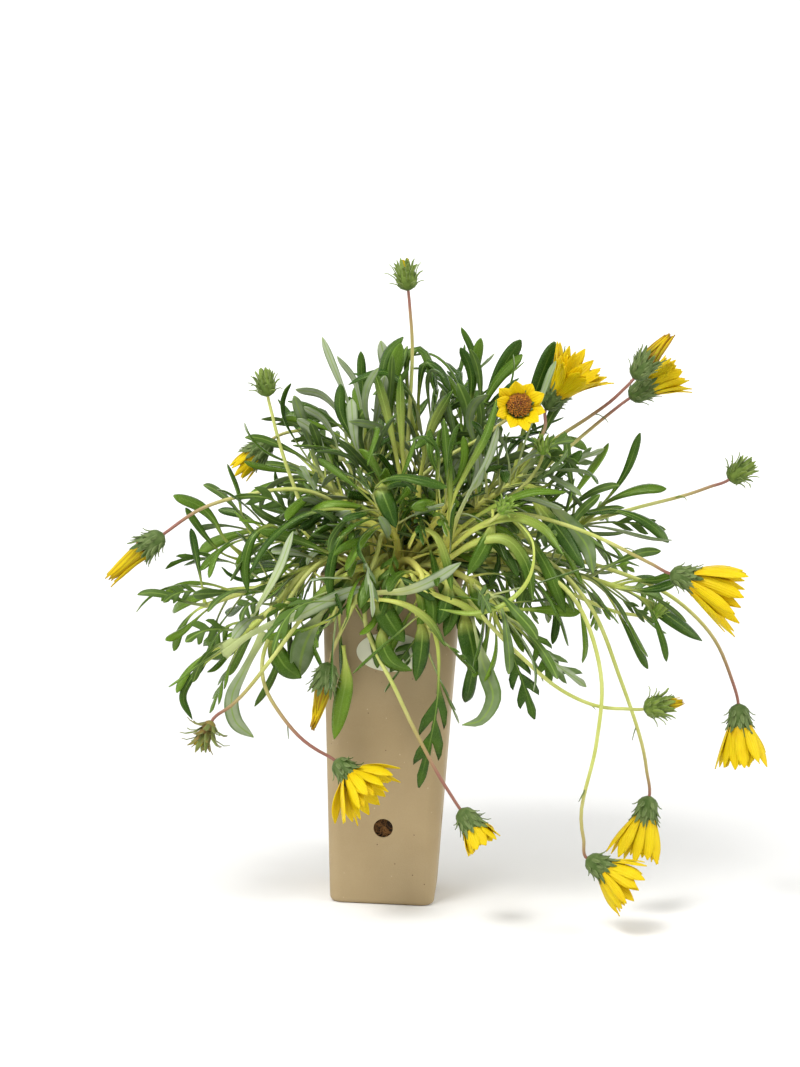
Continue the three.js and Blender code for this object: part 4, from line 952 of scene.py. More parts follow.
    ("far_right", "oval", 9.5, 0.05, (0.2, -0.6, 0.8), (0.4, -0.6, 0.6), 1,
     [(116, -9, 161), (128, -12, 155), (141, -14, 147), (154, -15, 138)]),
    ("far_right", "plain", 4.6, 0.1, (0.2, -0.8, 0.4), (0.4, -0.8, 0.2), 1,
     [(104, -9, 163), (113, -14, 149), (121, -16, 136), (128, -16, 123)]),
    ("up_right", "plain", 3.4, 0.2, (0, -0.9, 0.3), (0, -0.9, 0.3), 1,
     [(33, 15, 240), (36, 13, 258), (35, 12, 275), (29, 12, 287)]),
    ("up_right", "plain", 5.5, 0.5, (0.3, -0.9, 0.3), (0.2, -0.9, 0.3), 1,
     [(33, 16, 234), (36, 13, 255), (37, 12, 270), (39, 12, 282)]),
    ("up_right", "plain", 5.5, 0.1, (-0.4, -0.9, 0.2), (-0.4, -0.9, 0.2), 1,
     [(32, 15, 234), (35, 12, 255), (34, 11, 267), (29, 10, 277)]),
    ("up_right", "plain", 7.5, 0.05, (0.4, -0.8, 0.4), (0.4, -0.8, 0.4), 1,
     [(33, 16, 230), (42, 12, 249), (50, 10, 267), (59, 8, 282)]),
    ("up_right", "plain", 7.5, 0.45, (-0.5, -0.7, 0.5), (-0.4, -0.7, 0.6), 1,
     [(32, 14, 228), (41, 9, 249), (50, 6, 265), (60, 4, 275)]),
    ("right_up", "plain", 8, 0.04, (0.3, -0.9, 0.2), (0.3, -0.9, 0.2), 1,
     [(58, 4, 212), (62, 16, 236), (68, 21, 258), (76, 22, 281)]),
    ("right_up", "plain", 7, 0.12, (0.3, -0.9, 0.2), (0.3, -0.9, 0.2), 1,
     [(60, 2, 212), (71, 16, 234), (81, 21, 255), (89, 22, 272)]),
    ("right_up", "lobed", 5.5, 0.4, (-0.4, 0.8, 0.5), (-0.4, 0.8, 0.5), 1,
     [(64, -4, 215), (74, -7, 217), (87, -9, 224), (102, -10, 231)]),
    ("right_up", "plain", 6.5, 0.08, (-0.5, -0.7, 0.5), (-0.5, -0.7, 0.5), 1,
     [(64, -6, 211), (73, -12, 211), (83, -14, 221), (91, -15, 230)]),
    ("front_up_right", "oval", 5.5, 0.27, (-0.2, 0.9, 0.2), (0.2, 0.9, 0.3), 1,
     [(34, -37, 208), (40, -40, 214), (42, -41, 223), (40, -41, 233)]),
    ("front_low", "strap", 4, 0.6, (0, -0.7, 0.7), (0.2, -0.8, 0.5), 0.4,
     [(2, -40, 167), (12, -47, 165), (24, -51, 161), (36, -51, 157), (50, -49, 148)]),
    ("front_low", "strap", 4.5, 0.2, (0, -0.8, 0.6), (-0.2, -0.9, 0.3), 0.8,
     [(9, -38, 169), (4, -46, 166), (-1, -51, 158), (-4, -53, 147)]),
    ("front_low", "oval", 7.5, 0.3, (0.1, -0.8, 0.6), (0.1, -0.9, 0.3), 1,
     [(16, -40, 168), (19, -47, 164), (22, -50, 155), (22, -52, 144)]),
    ("front_low", "oval", 7.5, 0.15, (0.1, -0.8, 0.6), (-0.2, -0.9, 0.3), 1,
     [(29, -39, 167), (32, -45, 161), (31, -49, 152), (28, -51, 141)]),
    ("up_left", "plain", 4.6, 0.13, (0.4, 0.9, 0.3), (0.4, 0.9, 0.3), 1,
     [(-18, 6, 223), (-24, 6, 243), (-32, 7, 262), (-40, 8, 280)]),
    ("up_left", "plain", 4.4, 0.4, (0.5, 0.8, 0.4), (0.6, 0.8, 0.4), 1,
     [(-17, 5, 226), (-19, 5, 245), (-23, 5, 260), (-32, 5, 271)]),
    ("up_left", "plain", 4.6, 0.1, (0, -0.9, 0.3), (0, -0.9, 0.3), 1,
     [(-17, 5, 224), (-17, 2, 243), (-19, 0, 260), (-20, 0, 274)]),
    ("up_centre", "strap", 6, 0.08, (0, -0.5, 0.9), (-0.3, -0.5, 0.8), 1,
     [(11, 12, 234), (8, 2, 249), (2, -4, 259), (-8, -7, 265), (-17, -9, 263), (-25, -10, 258)]),
    ("up_centre", "plain", 7, 0.27, (0.2, 0.9, 0.2), (0.3, 0.9, 0.2), 1,
     [(3, 18, 226), (-4, 16, 247), (-7, 14, 264), (-11, 13, 279)]),
    ("up_centre", "plain", 6, 0.12, (-0.3, -0.9, 0.2), (-0.4, -0.8, 0.4), 1,
     [(2, 12, 221), (-7, 4, 241), (-9, 0, 258), (-7, -2, 273), (1, -3, 282)]),
    ("up_centre", "plain", 7.5, 0.55, (0.3, -0.9, 0.2), (0.3, -0.9, 0.2), 1,
     [(4, 10, 219), (-4, 2, 240), (-4, -3, 257), (0, -5, 279)]),
    ("up_centre", "plain", 7, 0.3, (0.2, -0.5, 0.8), (0.6, -0.4, 0.6), 1,
     [(8, 20, 230), (3, 19, 255), (3, 18, 272), (9, 16, 276), (15, 14, 266), (18, 13, 253)]),
    ("up_centre", "plain", 6, 0.08, (0, -0.6, 0.8), (0.6, -0.5, 0.5), 1,
     [(9, 18, 234), (9, 14, 255), (12, 12, 269), (19, 11, 266), (25, 10, 255)]),
    ("left_up", "plain", 5, 0.4, (0.2, 0.8, 0.5), (0.2, 0.8, 0.5), 1,
     [(-25, 2, 224), (-29, 2, 241), (-39, 1, 252), (-52, 0, 254)]),
    ("left_up", "plain", 4.5, 0.13, (0.3, 0.8, 0.4), (0.3, 0.8, 0.4), 1,
     [(-28, -1, 219), (-32, -4, 232), (-38, -6, 241), (-47, -7, 246)]),
    ("left_up", "plain", 6.5, 0.27, (0.3, 0.8, 0.5), (0.3, 0.8, 0.5), 1,
     [(-32, -2, 215), (-38, -6, 228), (-43, -8, 236), (-50, -9, 240)]),
    ("up_left", "plain", 6, 0.06, (-0.3, -0.9, 0.3), (-0.3, -0.9, 0.3), 1,
     [(-16, 0, 215), (-23, -6, 232), (-29, -8, 245), (-29, -8, 258)]),
    ("up_left", "plain", 6.5, 0.4, (0.3, 0.8, 0.3), (0.3, 0.8, 0.3), 1,
     [(-14, -2, 213), (-20, -9, 228), (-22, -11, 241), (-23, -11, 251)]),
]


def rounded(rows):
    """An outline with one more row between each two, on a smooth curve through all of them."""
    rows = np.array(rows, float)
    before = np.vstack([2 * rows[0] - rows[1], rows[:-2]])
    after = np.vstack([rows[2:], 2 * rows[-1] - rows[-2]])
    finer = np.empty((2 * len(rows) - 1, rows.shape[1]))
    finer[0::2] = rows
    finer[1::2] = (9 * (rows[:-1] + rows[1:]) - before - after) / 16
    return finer


def blade(rows, half, length, thickness, arch, rib):
    """A flat grid drawn out to an outline, arched across and given its thickness and its rib."""
    bpy.ops.object.select_all(action="DESELECT")
    bpy.ops.mesh.primitive_grid_add(x_subdivisions=4, y_subdivisions=len(rows) - 1, size=2)
    sheet = start("blade")
    for corner in sheet.data.vertices:
        side = corner.co.x
        at, left, lean_left, right, lean_right = rows[round((corner.co.y + 1) / 2 * (len(rows) - 1))]
        reach, lean = (left, lean_left) if side < 0 else (right, lean_right)
        corner.co = Vector((side * reach * half, (at + abs(side) * lean) * length, arch(abs(side), reach)))
    thicken = sheet.modifiers.new("thickness", "SOLIDIFY")
    thicken.thickness = thickness
    thicken.offset = -1
    bpy.ops.object.modifier_apply(modifier=thicken.name)
    corners = sheet.data.vertices
    for corner in list(corners)[len(corners) // 2 :]:
        share = corner.co.y / length
        if abs(corner.co.x) < 0.075 * half:
            corner.co.z -= rib * max(0, 1 - share)
    made = blank(sheet)
    made["across"] = made["points"][:, 0] / half
    made["points"] = made["points"] * (1, 1 / length, 1)
    return made


def leaf_arch(side, reach):
    """Height across a leaf: a groove at the midrib, a raised half blade and a margin turned down."""
    spread = min(1, reach)
    if side < 0.1:
        return -LEAF_GROOVE * spread
    if side < 0.9:
        return LEAF_SHOULDER * spread
    return -LEAF_MARGIN * spread


plain_leaf = blade(rounded(PLAIN), LEAF_HALF, LEAF_LENGTH, LEAF_THICKNESS, leaf_arch, LEAF_RIB)
lobed_leaf = blade(rounded(LOBED), LEAF_HALF, LEAF_LENGTH, LEAF_THICKNESS, leaf_arch, LEAF_RIB)
basal_leaf = blade(rounded(BASAL), LEAF_HALF, LEAF_LENGTH, LEAF_THICKNESS, leaf_arch, LEAF_RIB)
oval_leaf = blade(rounded(OVAL), LEAF_HALF, LEAF_LENGTH, LEAF_THICKNESS, leaf_arch, LEAF_RIB)
strap_leaf = blade(rounded(STRAP), LEAF_HALF, LEAF_LENGTH, LEAF_THICKNESS, leaf_arch, LEAF_RIB)
leaf_shapes = {
    "plain": plain_leaf, "lobed": lobed_leaf, "basal": basal_leaf, "oval": oval_leaf, "strap": strap_leaf,
}


def turned(vector, axis, degrees):
    """A vector turned round an axis."""
    axis = axis / np.linalg.norm(axis)
    turn = math.radians(degrees)
    return (
        vector * math.cos(turn)
        + np.cross(axis, vector) * math.sin(turn)
        + axis * axis.dot(vector) * (1 - math.cos(turn))
    )


def unit(vector):
    return vector / np.linalg.norm(vector)


def off_pot(p):
    """A point that would lie in the pot's wall is moved out in front of it."""
    half = pot_half(min(max(p[2], 0), POT_HEIGHT)) + POT_CLEARANCE
    side = max(abs(p[0]), abs(p[1]))
    if p[2] > POT_HEIGHT + 3 or side > half or side < 24:
        return p
    k = 0 if abs(p[0]) > abs(p[1]) else 1
    p[k] = math.copysign(half, p[k])
    return p


def leaf_line(plan, bend=(0, 0), shorter=1.0):
    """The line of a leaf: it leaves its foot, droops as it goes, and keeps its face up."""
    across = unit(np.cross(plan["way"], plan["face"]))
    d = turned(turned(plan["way"], plan["face"], bend[0]), across, bend[1])
    n, point = plan["face"], plan["foot"].copy()
    step_length = plan["length"] * shorter / LEAF_STEPS
    spine, ways, faces = [], [], []
    for step in range(LEAF_STEPS + 1):
        n = turned(unit(n - d * n.dot(d)), d, math.degrees(plan["twist"] / LEAF_STEPS))
        spine.append(point.copy())
        ways.append(d.copy())
        faces.append(n)
        d[2] -= plan["droop"] * (0.4 + 1.2 * step / LEAF_STEPS) / LEAF_STEPS
        aside = plan["sway"] + plan.get("wave", 0) * math.sin(2 * math.pi * (step / LEAF_STEPS + 0.1))
        d = turned(unit(d), n, math.degrees(aside / LEAF_STEPS))
        up = plan.get("curl", 0) * 3 * (step / LEAF_STEPS) ** 2
        d = turned(d, np.cross(d, n), math.degrees(up / LEAF_STEPS))
        point = off_pot(point + d * step_length)
    return np.array(spine), np.array(ways), np.array(faces)


def leaf_plan(line, s, share, size, turn_from, draw):
    """A leaf whose foot is the share s along a stem: wide open low down and steep at the tip."""
    at = s * (len(line) - 1)
    k = min(int(at), len(line) - 2)
    axis = unit(line[k + 1] - line[k])
    side = unit(np.cross((0.31, 0.17, 0.93), axis))
    out = turned(side, axis, math.degrees(turn_from + 0.9 * draw()))
    open_by = math.radians(78 - 50 * share + 26 * (draw() - 0.5))
    way = unit(axis * math.cos(open_by) + out * math.sin(open_by) + (0, 0, 0.22))
    roll = 60 * (draw() - 0.5)
    return {
        "foot": line[k] * (1 - at + k) + line[k + 1] * (at - k),
        "way": way,
        "face": turned(unit(axis + (0, 0, 0.6)), way, roll),
        "length": size * (0.8 + 0.45 * draw()) * (1 - 0.2 * share * share),
        "width": 4.4 + 2.6 * draw(),
        "droop": -0.15 + 1.9 * draw(),
        "sway": 1.6 * (draw() - 0.5),
        "twist": 1.5 * (draw() - 0.5),
        "shape": "lobed" if draw() < 0.24 else "plain",
    }


BENDS = [
    (0, 0), (9, 0), (-9, 0), (0, 9), (0, -9), (16, 8), (-16, 8), (16, -8), (-16, -8), (24, 0), (-24, 0),
    (0, 20), (0, -20),
]
WAYS = [(bend, shorter) for shorter in (1.0, 0.8) for bend in BENDS]


def leaf_touch(line, width):
    """Points all over a leaf, from a little way off its foot, to test for room."""
    spine, ways, faces = line
    steps = np.linspace(0.13, 1, 30)
    rows_at = np.linspace(0, 1, len(spine))

    def between(rows):
        return np.stack([np.interp(steps, rows_at, rows[:, k]) for k in range(3)], 1)

    across = between(np.cross(ways, faces))
    wide = width / 2 * np.interp(steps, [r[0] for r in PLAIN], [r[1] for r in PLAIN])
    middle = between(spine)
    shares = (-0.9, -0.45, 0, 0.45, 0.9)
    return np.concatenate([middle + across * (wide * share)[:, None] for share in shares])


def leaf_part(plan, line, tone):
    """A leaf's shape laid along its line, with its upper side and its felted underside."""
    shape = leaf_shapes[plan["shape"]]
    wide = plan["width"] / 2 / LEAF_HALF
    return {
        "points": laid(shape, line, wide, 0.55 + 0.45 * min(1.3, wide)),
        "faces": shape["faces"],
        "slot": 1 + shape["under"],
        "along": shape["points"][:, 1] * plan.get("pale", 1),
        "across": shape["across"],
        "tone": tone,
    }


def apart_line(route, foot_face, tip_face):
    """A leaf's line through given points, its face turning from one way to another."""
    spine = smooth_line([np.array(p, float) for p in route], 3 * LEAF_STEPS)
    ways = np.gradient(spine, axis=0)
    ways /= np.linalg.norm(ways, axis=1)[:, None]
    share = np.linspace(0, 1, len(spine))[:, None]
    faces = (1 - share) * unit(np.array(foot_face, float)) + share * unit(np.array(tip_face, float))
    faces -= ways * np.sum(faces * ways, axis=1)[:, None]
    return spine, ways, faces / np.linalg.norm(faces, axis=1)[:, None]


def within_plant(points):
    """Whether points stay inside the box that the solids fill."""
    return bool((points > plant_low + 0.8).all() and (points < plant_high - 0.8).all())


def stem_part(line, foot, tip, sides=8):
    """A round stem along a line, thinner towards its tip."""
    shape = tube(sides, len(line) - 1)
    girth = np.linspace(foot, tip, len(line))
    return {
        "points": laid(shape, framed(line), girth, girth),
        "faces": shape["faces"],
        "slot": 0,
        "along": shape["points"][:, 1],
    }


# The leaves that the solid shoot has come first, each the way that it lies there: its tip is found
# among the solid's corners. Then come those that lie apart, the long ones that rise from the crown,
# and more leaves wherever they find room. The front of the pot and of the crown stay open.
leaves_on = []
for i, (plan, line) in enumerate(zip(SHOOTS, shoot_lines)):
    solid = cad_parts["shoot_" + plan["name"]].data
    corners = kdtree.KDTree(len(solid.vertices))
    for k, corner in enumerate(solid.vertices):
        corners.insert(corner.co, k)
    corners.balance()
    draw, shade = random_from(1000 + 37 * i), random_from(300 + i)
    leaves = []
    for k in range(plan["leaves"]):
        share = k / plan["leaves"]
        s = FIRST_LEAF + (1 - FIRST_LEAF) * ((k + 0.6) / plan["leaves"]) ** 0.8
        leaf = leaf_plan(line, s, share, plan["length"], k * GOLDEN_ANGLE, draw)
        tries = (leaf_line(leaf, bend, shorter) for bend, shorter in WAYS)
        found = next((t for t in tries if corners.find(Vector(t[0][-1]) * MM)[2] < 0.4 * MM), None)
        if found is None:
            continue
        leaf["width"] *= 0.88
        leaves.append((leaf, found, shade() ** 1.5))
        room.take(leaf_touch(found, leaf["width"]))
    leaves_on.append(leaves)
shoot_names = [plan["name"] for plan in SHOOTS]
for name, shape, width, tone, foot_face, tip_face, pale, route in APART:
    found = apart_line(route, foot_face, tip_face)
    leaves = leaves_on[shoot_names.index(name)]
    leaves.append(({"shape": shape, "width": width, "pale": pale}, found, tone))
    room.take(leaf_touch(found, width))


def kept_open(points):
    """Whether a leaf stays out of the open places before the crown and before the pot."""
    x, y, z = points.T
    before_crown = (x > 2) & (x < 44) & (y < -28) & (z > 158) & (z < 192 - 0.1 * y)
    before_pot = (abs(x) < 37) & (y < -30) & (z < 136)
    return not (before_crown | before_pot).any()


for i, (plan, line) in enumerate(zip(SHOOTS, shoot_lines)):
    draw = random_from(5000 + 91 * i)
    for k in range(CROWN_LEAVES + plan["more"]):
        from_crown = k < CROWN_LEAVES
        if from_crown:
            s = 0.12 + 0.3 * (k + draw()) / CROWN_LEAVES
            share = 1.15 + 0.3 * (draw() - 0.5)
            size = plan["length"] * (1.1 + 0.35 * draw())
        else:
            s = 0.3 + 0.7 * (k - CROWN_LEAVES + 0.5) / plan["more"]
            share = 0.95 * s + 0.55 * (draw() - 0.5)
            size = plan["length"] * (0.85 + 0.55 * draw())
        leaf = leaf_plan(line, s, share, size, (k + 0.5) * GOLDEN_ANGLE, draw)
        leaf["shape"] = "basal" if from_crown else leaf["shape"]
        leaf["width"] *= 0.6 + 0.45 * draw()
        leaf["droop"] *= 1.2
        leaf["wave"] = 5 * (draw() - 0.5)
        leaf["curl"] = 2.6 * (draw() - 0.5)
        leaf["twist"] *= 2
        limit = 0.12 if from_crown else 0.03
        for bend, shorter in WAYS:
            tried = leaf_line(leaf, bend, shorter)
            touch = leaf_touch(tried, leaf["width"])
            if within_plant(touch) and kept_open(touch) and room.crowded(touch) < limit:
                leaves_on[i].append((leaf, tried, draw() ** 1.3))
                room.take(touch)
                break


def crown_painted_light(tree, where, colour):
    """Painted light: deep in the crown, where little light comes, stems and the feet of leaves are painted
    pale yellow as if lit, most at the crown's middle.
    """
    middle = [c * MM for c in CROWN_MIDDLE]
    away = add(tree, "VectorMath", {0: where, 1: middle}, operation="DISTANCE").outputs["Value"]
    return mix(tree, ramp(tree, away, 62 * MM, 22 * MM), colour, CROWN_PAINTED_LIGHT)


stem_skin, tree, shader = finish_of("stem_skin", Specular_IOR_Level=0.4, Subsurface_Weight=0.1)
shader.inputs["Subsurface Radius"].default_value = (0.6, 0.9, 0.2)
shader.inputs["Subsurface Scale"].default_value = 0.8 * MM
where, patches, grain = unevenness(tree, 90, 1500)
# Round the crown the stem's colour is lightened by painted light.
colour = crown_painted_light(tree, where, mix(tree, patches, STEM_GREEN, STEM_PALE))
near_foot = ramp(tree, read(tree, "along"), 0.5, 0.05, 0, 0.55)
pinker = add(tree, "Math", {0: near_foot, 1: patches}, operation="MULTIPLY").outputs[0]
tree.links.new(mix(tree, pinker, colour, STEM_PINK), shader.inputs["Base Color"])
tree.links.new(ramp(tree, grain, 0, 1, 0.4, 0.55), shader.inputs["Roughness"])
bump(tree, shader, grain, 0.06)

leaf_green, tree, shader = finish_of("leaf_green", Specular_IOR_Level=0.45, Subsurface_Weight=0.15)
shader.inputs["Specular Tint"].default_value = (0.8, 1, 0.45, 1)
shader.inputs["Subsurface Radius"].default_value = (0.4, 0.9, 0.12)
shader.inputs["Subsurface Scale"].default_value = 0.7 * MM
where, patches, grain = unevenness(tree, 130, 2200)
along, tone = read(tree, "along"), read(tree, "tone")
off_rib = add(tree, "Math", {0: read(tree, "across")}, operation="ABSOLUTE").outputs[0]
shade = add(tree, "Math", {0: tone, 1: ramp(tree, patches, 0, 1, -0.12, 0.12)}, operation="ADD").outputs[0]
colour = mix(tree, shade, LEAF_DARK, LEAF_BRIGHT)
rib = ramp(tree, off_rib, 0.12, 0.03)
rib_fade = ramp(tree, along, 1.0, 0.5, 0, 0.6)
rib_line = add(tree, "Math", {0: rib, 1: rib_fade}, operation="MULTIPLY").outputs[0]
colour = mix(tree, rib_line, colour, LEAF_MIDRIB)
# Round the crown the leaf feet are lightened by painted light.
colour = mix(tree, ramp(tree, along, 0.48, 0.12), colour, crown_painted_light(tree, where, LEAF_FOOT))
tree.links.new(colour, shader.inputs["Base Color"])
tree.links.new(ramp(tree, grain, 0, 1, 0.2, 0.32), shader.inputs["Roughness"])
bump(tree, shader, grain, 0.07)

leaf_felt, tree, shader = finish_of("leaf_felt", Roughness=0.85, Specular_IOR_Level=0.2, Sheen_Weight=0.1)
where, patches, grain = unevenness(tree, 160, 2600)
along = read(tree, "along")
off_rib = add(tree, "Math", {0: read(tree, "across")}, operation="ABSOLUTE").outputs[0]
lot = add(tree, "Math", {0: read(tree, "tone"), 1: 7.31}, operation="MULTIPLY").outputs[0]
lot = add(tree, "Math", {0: lot}, operation="FRACT").outputs[0]
how_silver = ramp(tree, lot, 0.5, 1)
unevenly = ramp(tree, patches, 0, 1, -0.1, 0.15)
felted = add(tree, "Math", {0: how_silver, 1: unevenly}, operation="ADD").outputs[0]
colour = mix(tree, felted, FELT_GREEN, FELT_SILVER)
colour = mix(tree, ramp(tree, off_rib, 0.16, 0.05, 0, 0.8), colour, LEAF_MIDRIB)
colour = mix(tree, ramp(tree, off_rib, 0.62, 0.92, 0, 0.8), colour, FELT_GREEN)
# Round the crown the felted feet are lightened by painted light.
colour = mix(tree, ramp(tree, along, 0.42, 0.12), colour, crown_painted_light(tree, where, FELT_FOOT))
tree.links.new(colour, shader.inputs["Base Color"])
bump(tree, shader, grain, 0.12)

for i, (plan, line) in enumerate(zip(SHOOTS, shoot_lines)):
    parts = [stem_part(smooth_line(list(line), 30), SHOOT_FOOT, SHOOT_TIP)]
    for leaf, found, tone in leaves_on[i]:
        parts.append(leaf_part(leaf, found, tone))
    shoot = gathered("leafy_shoot_" + plan["name"], parts, [stem_skin, leaf_green, leaf_felt])
    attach(shoot, "root")
    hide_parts("shoot_" + plan["name"])

# ---------------------------------------------------------------------------------- stalks and cups
# A flower stalk is round and leafless, yellow-green at its foot and reddish brown near the head. It
# ends in a grey-green ribbed cup of fused bracts whose free tips curl outwards in rows; in a bud they
# close over the flower. Up to two hair-like bracts stand on the stalk just below the head.
STALK_FOOT = 1.3
STALK_HEAD = 0.76
NECK = 10
CUP_SIDES = 26
CUP_RIDGE = 0.07
CUP_LENGTH = 12
# Radius and height of a cup or bud from its foot to its closed middle.
PROFILES = {
    "cup": [
        (1.1, -0.5), (2.3, 0.1), (3.6, 0.8), (4.5, 2.0), (5.0, 4.0),
        (5.5, 6.4), (5.8, 8.8), (5.6, 10.6), (3.6, 11.3), (0.3, 11.4),
    ],
    "bud": [
        (1.1, -0.5), (2.4, 0.1), (3.7, 0.7), (4.5, 1.9), (5.1, 4.0),
        (5.2, 6), (4.7, 8), (3.7, 10), (2.1, 11.9), (0.3, 13),
    ],
    "small_bud": [
        (1.0, -0.4), (1.6, 0), (2.4, 0.5), (2.8, 1.3), (3.0, 2.6),
        (2.9, 4), (2.6, 5.2), (2.0, 6.2), (1.1, 7), (0.2, 7.6),
    ],
    "withered": [
        (1.0, -0.4), (1.7, 0), (2.6, 0.7), (3.1, 2), (3.4, 4),
        (3.3, 6), (2.8, 7.6), (2.2, 8.8), (1.3, 9.6), (0.2, 10),
    ],
}
# Rows of free tips: how many, radius and height that they leave at, length, the lean in degrees that
# they start and end with, and width.
TIPS = {
    "cup": [
        (6, 4.5, 2.0, 5.4, 20, 84, 1.8),
        (8, 5.0, 4.2, 6.2, 10, 56, 2.0),
        (10, 5.4, 6.6, 7, 6, 52, 2.2),
        (12, 5.5, 8.8, 7.2, 2, 30, 2.4),
    ],
    "bud": [
        (6, 4.2, 1.6, 6.8, 34, 106, 1.9),
        (7, 4.9, 3.8, 7.8, 18, 86, 2.1),
        (8, 4.9, 6.0, 8, 4, 56, 2.2),
        (8, 4.1, 8.2, 6.8, -12, 24, 2.4),
        (6, 2.8, 10.4, 4.8, -16, 0, 2.3),
    ],
    "small_bud": [
        (6, 2.6, 1.2, 6, 30, 84, 1.2),
        (8, 2.9, 2.8, 6, 6, 52, 1.4),
        (7, 2.5, 4.6, 5, -12, 14, 1.6),
    ],
    "withered": [
        (8, 3, 1.6, 9.5, 45, 125, 2.4),
        (9, 3.4, 4.2, 10.5, 28, 100, 2.6),
        (8, 3.0, 6.6, 10, 8, 66, 2.6),
        (6, 2.2, 8.4, 7, 0, 30, 2.4),
    ],
}
BRACT_GREEN = (0.05, 0.095, 0.012, 1)
BRACT_GREY = (0.145, 0.20, 0.06, 1)
BRACT_PALE = (0.26, 0.32, 0.13, 1)
BUD_GREEN = (0.07, 0.12, 0.012, 1)
BUD_LIGHT = (0.20, 0.28, 0.045, 1)
SMALL_BUD_GREEN = (0.14, 0.27, 0.02, 1)
SMALL_BUD_LIGHT = (0.30, 0.42, 0.07, 1)
WITHERED_BROWN = (0.25, 0.14, 0.035, 1)
WITHERED_GREEN = (0.17, 0.21, 0.045, 1)
STALK_GREEN = (0.44, 0.48, 0.10, 1)
STALK_LIGHT = (0.55, 0.58, 0.18, 1)
STALK_RED = (0.27, 0.115, 0.08, 1)

TIP_ROWS = [(0, 0.8, 0, 0.8, 0), (0.35, 1, 0, 1, 0), (0.75, 0.7, 0, 0.7, 0), (1, 0.1, 0, 0.1, 0)]
bract_tip = blade(TIP_ROWS, 1, 6, 0.3, lambda side, reach: 0.18 * side * reach, 0.1)


def leaning_line(turn, radius, height, length, lean_from, lean_to, steps):
    """The line of a bract or ray that leaves a head and leans further out as it goes. Its face is
    turned to the middle of the head, which points up."""
    ahead = np.array([math.cos(turn), math.sin(turn), 0])
    spine, ways, faces = [], [], []
    r, z = radius, height
    for step in range(steps + 1):
        lean = math.radians(lean_from + (lean_to - lean_from) * step / steps)
        spine.append(ahead * r + (0, 0, z))
        ways.append(ahead * math.sin(lean) + (0, 0, math.cos(lean)))
        faces.append(-ahead * math.cos(lean) + (0, 0, math.sin(lean)))
        r += length / steps * math.sin(lean)
        z += length / steps * math.cos(lean)
    return np.array(spine), np.array(ways), np.array(faces)


def head_matrix(faces):
    """Turns a head that was made pointing up to the way that it faces."""
    return np.array(Vector((0, 0, 1)).rotation_difference(Vector(faces).normalized()).to_matrix())


def set_on(parts, end, faces, sag=0.0):
    """Head parts made pointing up, put on the end of a stalk. Their tips may sag by their own weight."""
    turn = head_matrix(faces)
    placed = []
    for part in parts:
        points = part["points"] @ turn.T
        points[:, 2] -= sag * np.sum(points**2, axis=1) / CUP_LENGTH**2
        placed.append({**part, "points": points + end})
    return placed


def cup_parts(kind, size, draw):
    """The fused body of a cup or bud, with its ridges, and its rows of free tips."""
    profile = np.array(PROFILES[kind]) * size
    spine = np.array([(0, 0, z) for _, z in profile])
    ways = np.tile((0.0, 0, 1), (len(profile), 1))
    faces = np.tile((0.0, -1, 0), (len(profile), 1))
    shape = tube(CUP_SIDES, len(profile) - 1)
    body = laid(shape, (spine, ways, faces), profile[:, 0], profile[:, 0])
    angle = np.arctan2(body[:, 1], body[:, 0])
    body[:, :2] *= (1 + CUP_RIDGE * np.cos(CUP_SIDES / 2 * angle))[:, None]
    parts = [{"points": body, "faces": shape["faces"], "slot": 1, "along": shape["points"][:, 1] * 0.45}]
    for row, (count, radius, height, length, lean_from, lean_to, width) in enumerate(TIPS[kind]):
        for k in range(count):
            turn = (k + 0.5 * (row % 2) + 0.25 * (draw() - 0.5)) / count * 2 * math.pi
            long = length * size * (0.8 + 0.4 * draw())
            lean = lean_to + 20 * (draw() - 0.5) + (34 if draw() < 0.16 else 0)
            line = leaning_line(turn, (radius - 0.25) * size, height * size, long, lean_from, lean, 6)
            wide = width / 2 * size
            parts.append({
                "points": laid(bract_tip, line, wide, 1),
                "faces": bract_tip["faces"],
                "slot": 1,
                "along": 0.3 + 0.7 * bract_tip["points"][:, 1],
                "across": bract_tip["across"],
                "tone": draw(),
            })
    return parts


def with_neck(line, faces):
    """The last stretch of a stalk is bent smoothly into the way that its head faces."""
    run = np.concatenate([[0], np.cumsum(np.linalg.norm(np.diff(line, axis=0), axis=1))])
    keep = line[run < run[-1] - NECK]
    start_way, end_way = unit(keep[-1] - keep[-2]), unit(np.array(faces, float))
    first, last = keep[-1], line[-1]
    reach = np.linalg.norm(last - first)
    s = np.linspace(0, 1, 8)[1:, None]
    bend = (
        (2 * s**3 - 3 * s**2 + 1) * first
        + (s**3 - 2 * s**2 + s) * reach * start_way
        + (3 * s**2 - 2 * s**3) * last
        + (s**3 - s**2) * reach * end_way
    )
    return np.vstack([keep, bend, last + end_way * 0.8])


stalk_skin, tree, shader = finish_of("stalk_skin", Specular_IOR_Level=0.4, Subsurface_Weight=0.08)
shader.inputs["Subsurface Radius"].default_value = (0.6, 0.9, 0.2)
shader.inputs["Subsurface Scale"].default_value = 0.7 * MM
where, patches, grain = unevenness(tree, 110, 1800)
along, blush = read(tree, "along"), read(tree, "tone")
colour = mix(tree, patches, STALK_GREEN, STALK_LIGHT)
reach = add(tree, "Math", {0: along, 1: ramp(tree, blush, 0, 1, -0.28, 0.07)}, operation="ADD").outputs[0]
red = ramp(tree, reach, 0.6, 0.86)
for limit in (ramp(tree, blush, 0, 0.5), ramp(tree, along, 1.0, 0.975, 0.15, 1)):
    red = add(tree, "Math", {0: red, 1: limit}, operation="MULTIPLY").outputs[0]
tree.links.new(mix(tree, red, colour, STALK_RED), shader.inputs["Base Color"])
tree.links.new(ramp(tree, grain, 0, 1, 0.38, 0.52), shader.inputs["Roughness"])
bump(tree, shader, grain, 0.05)

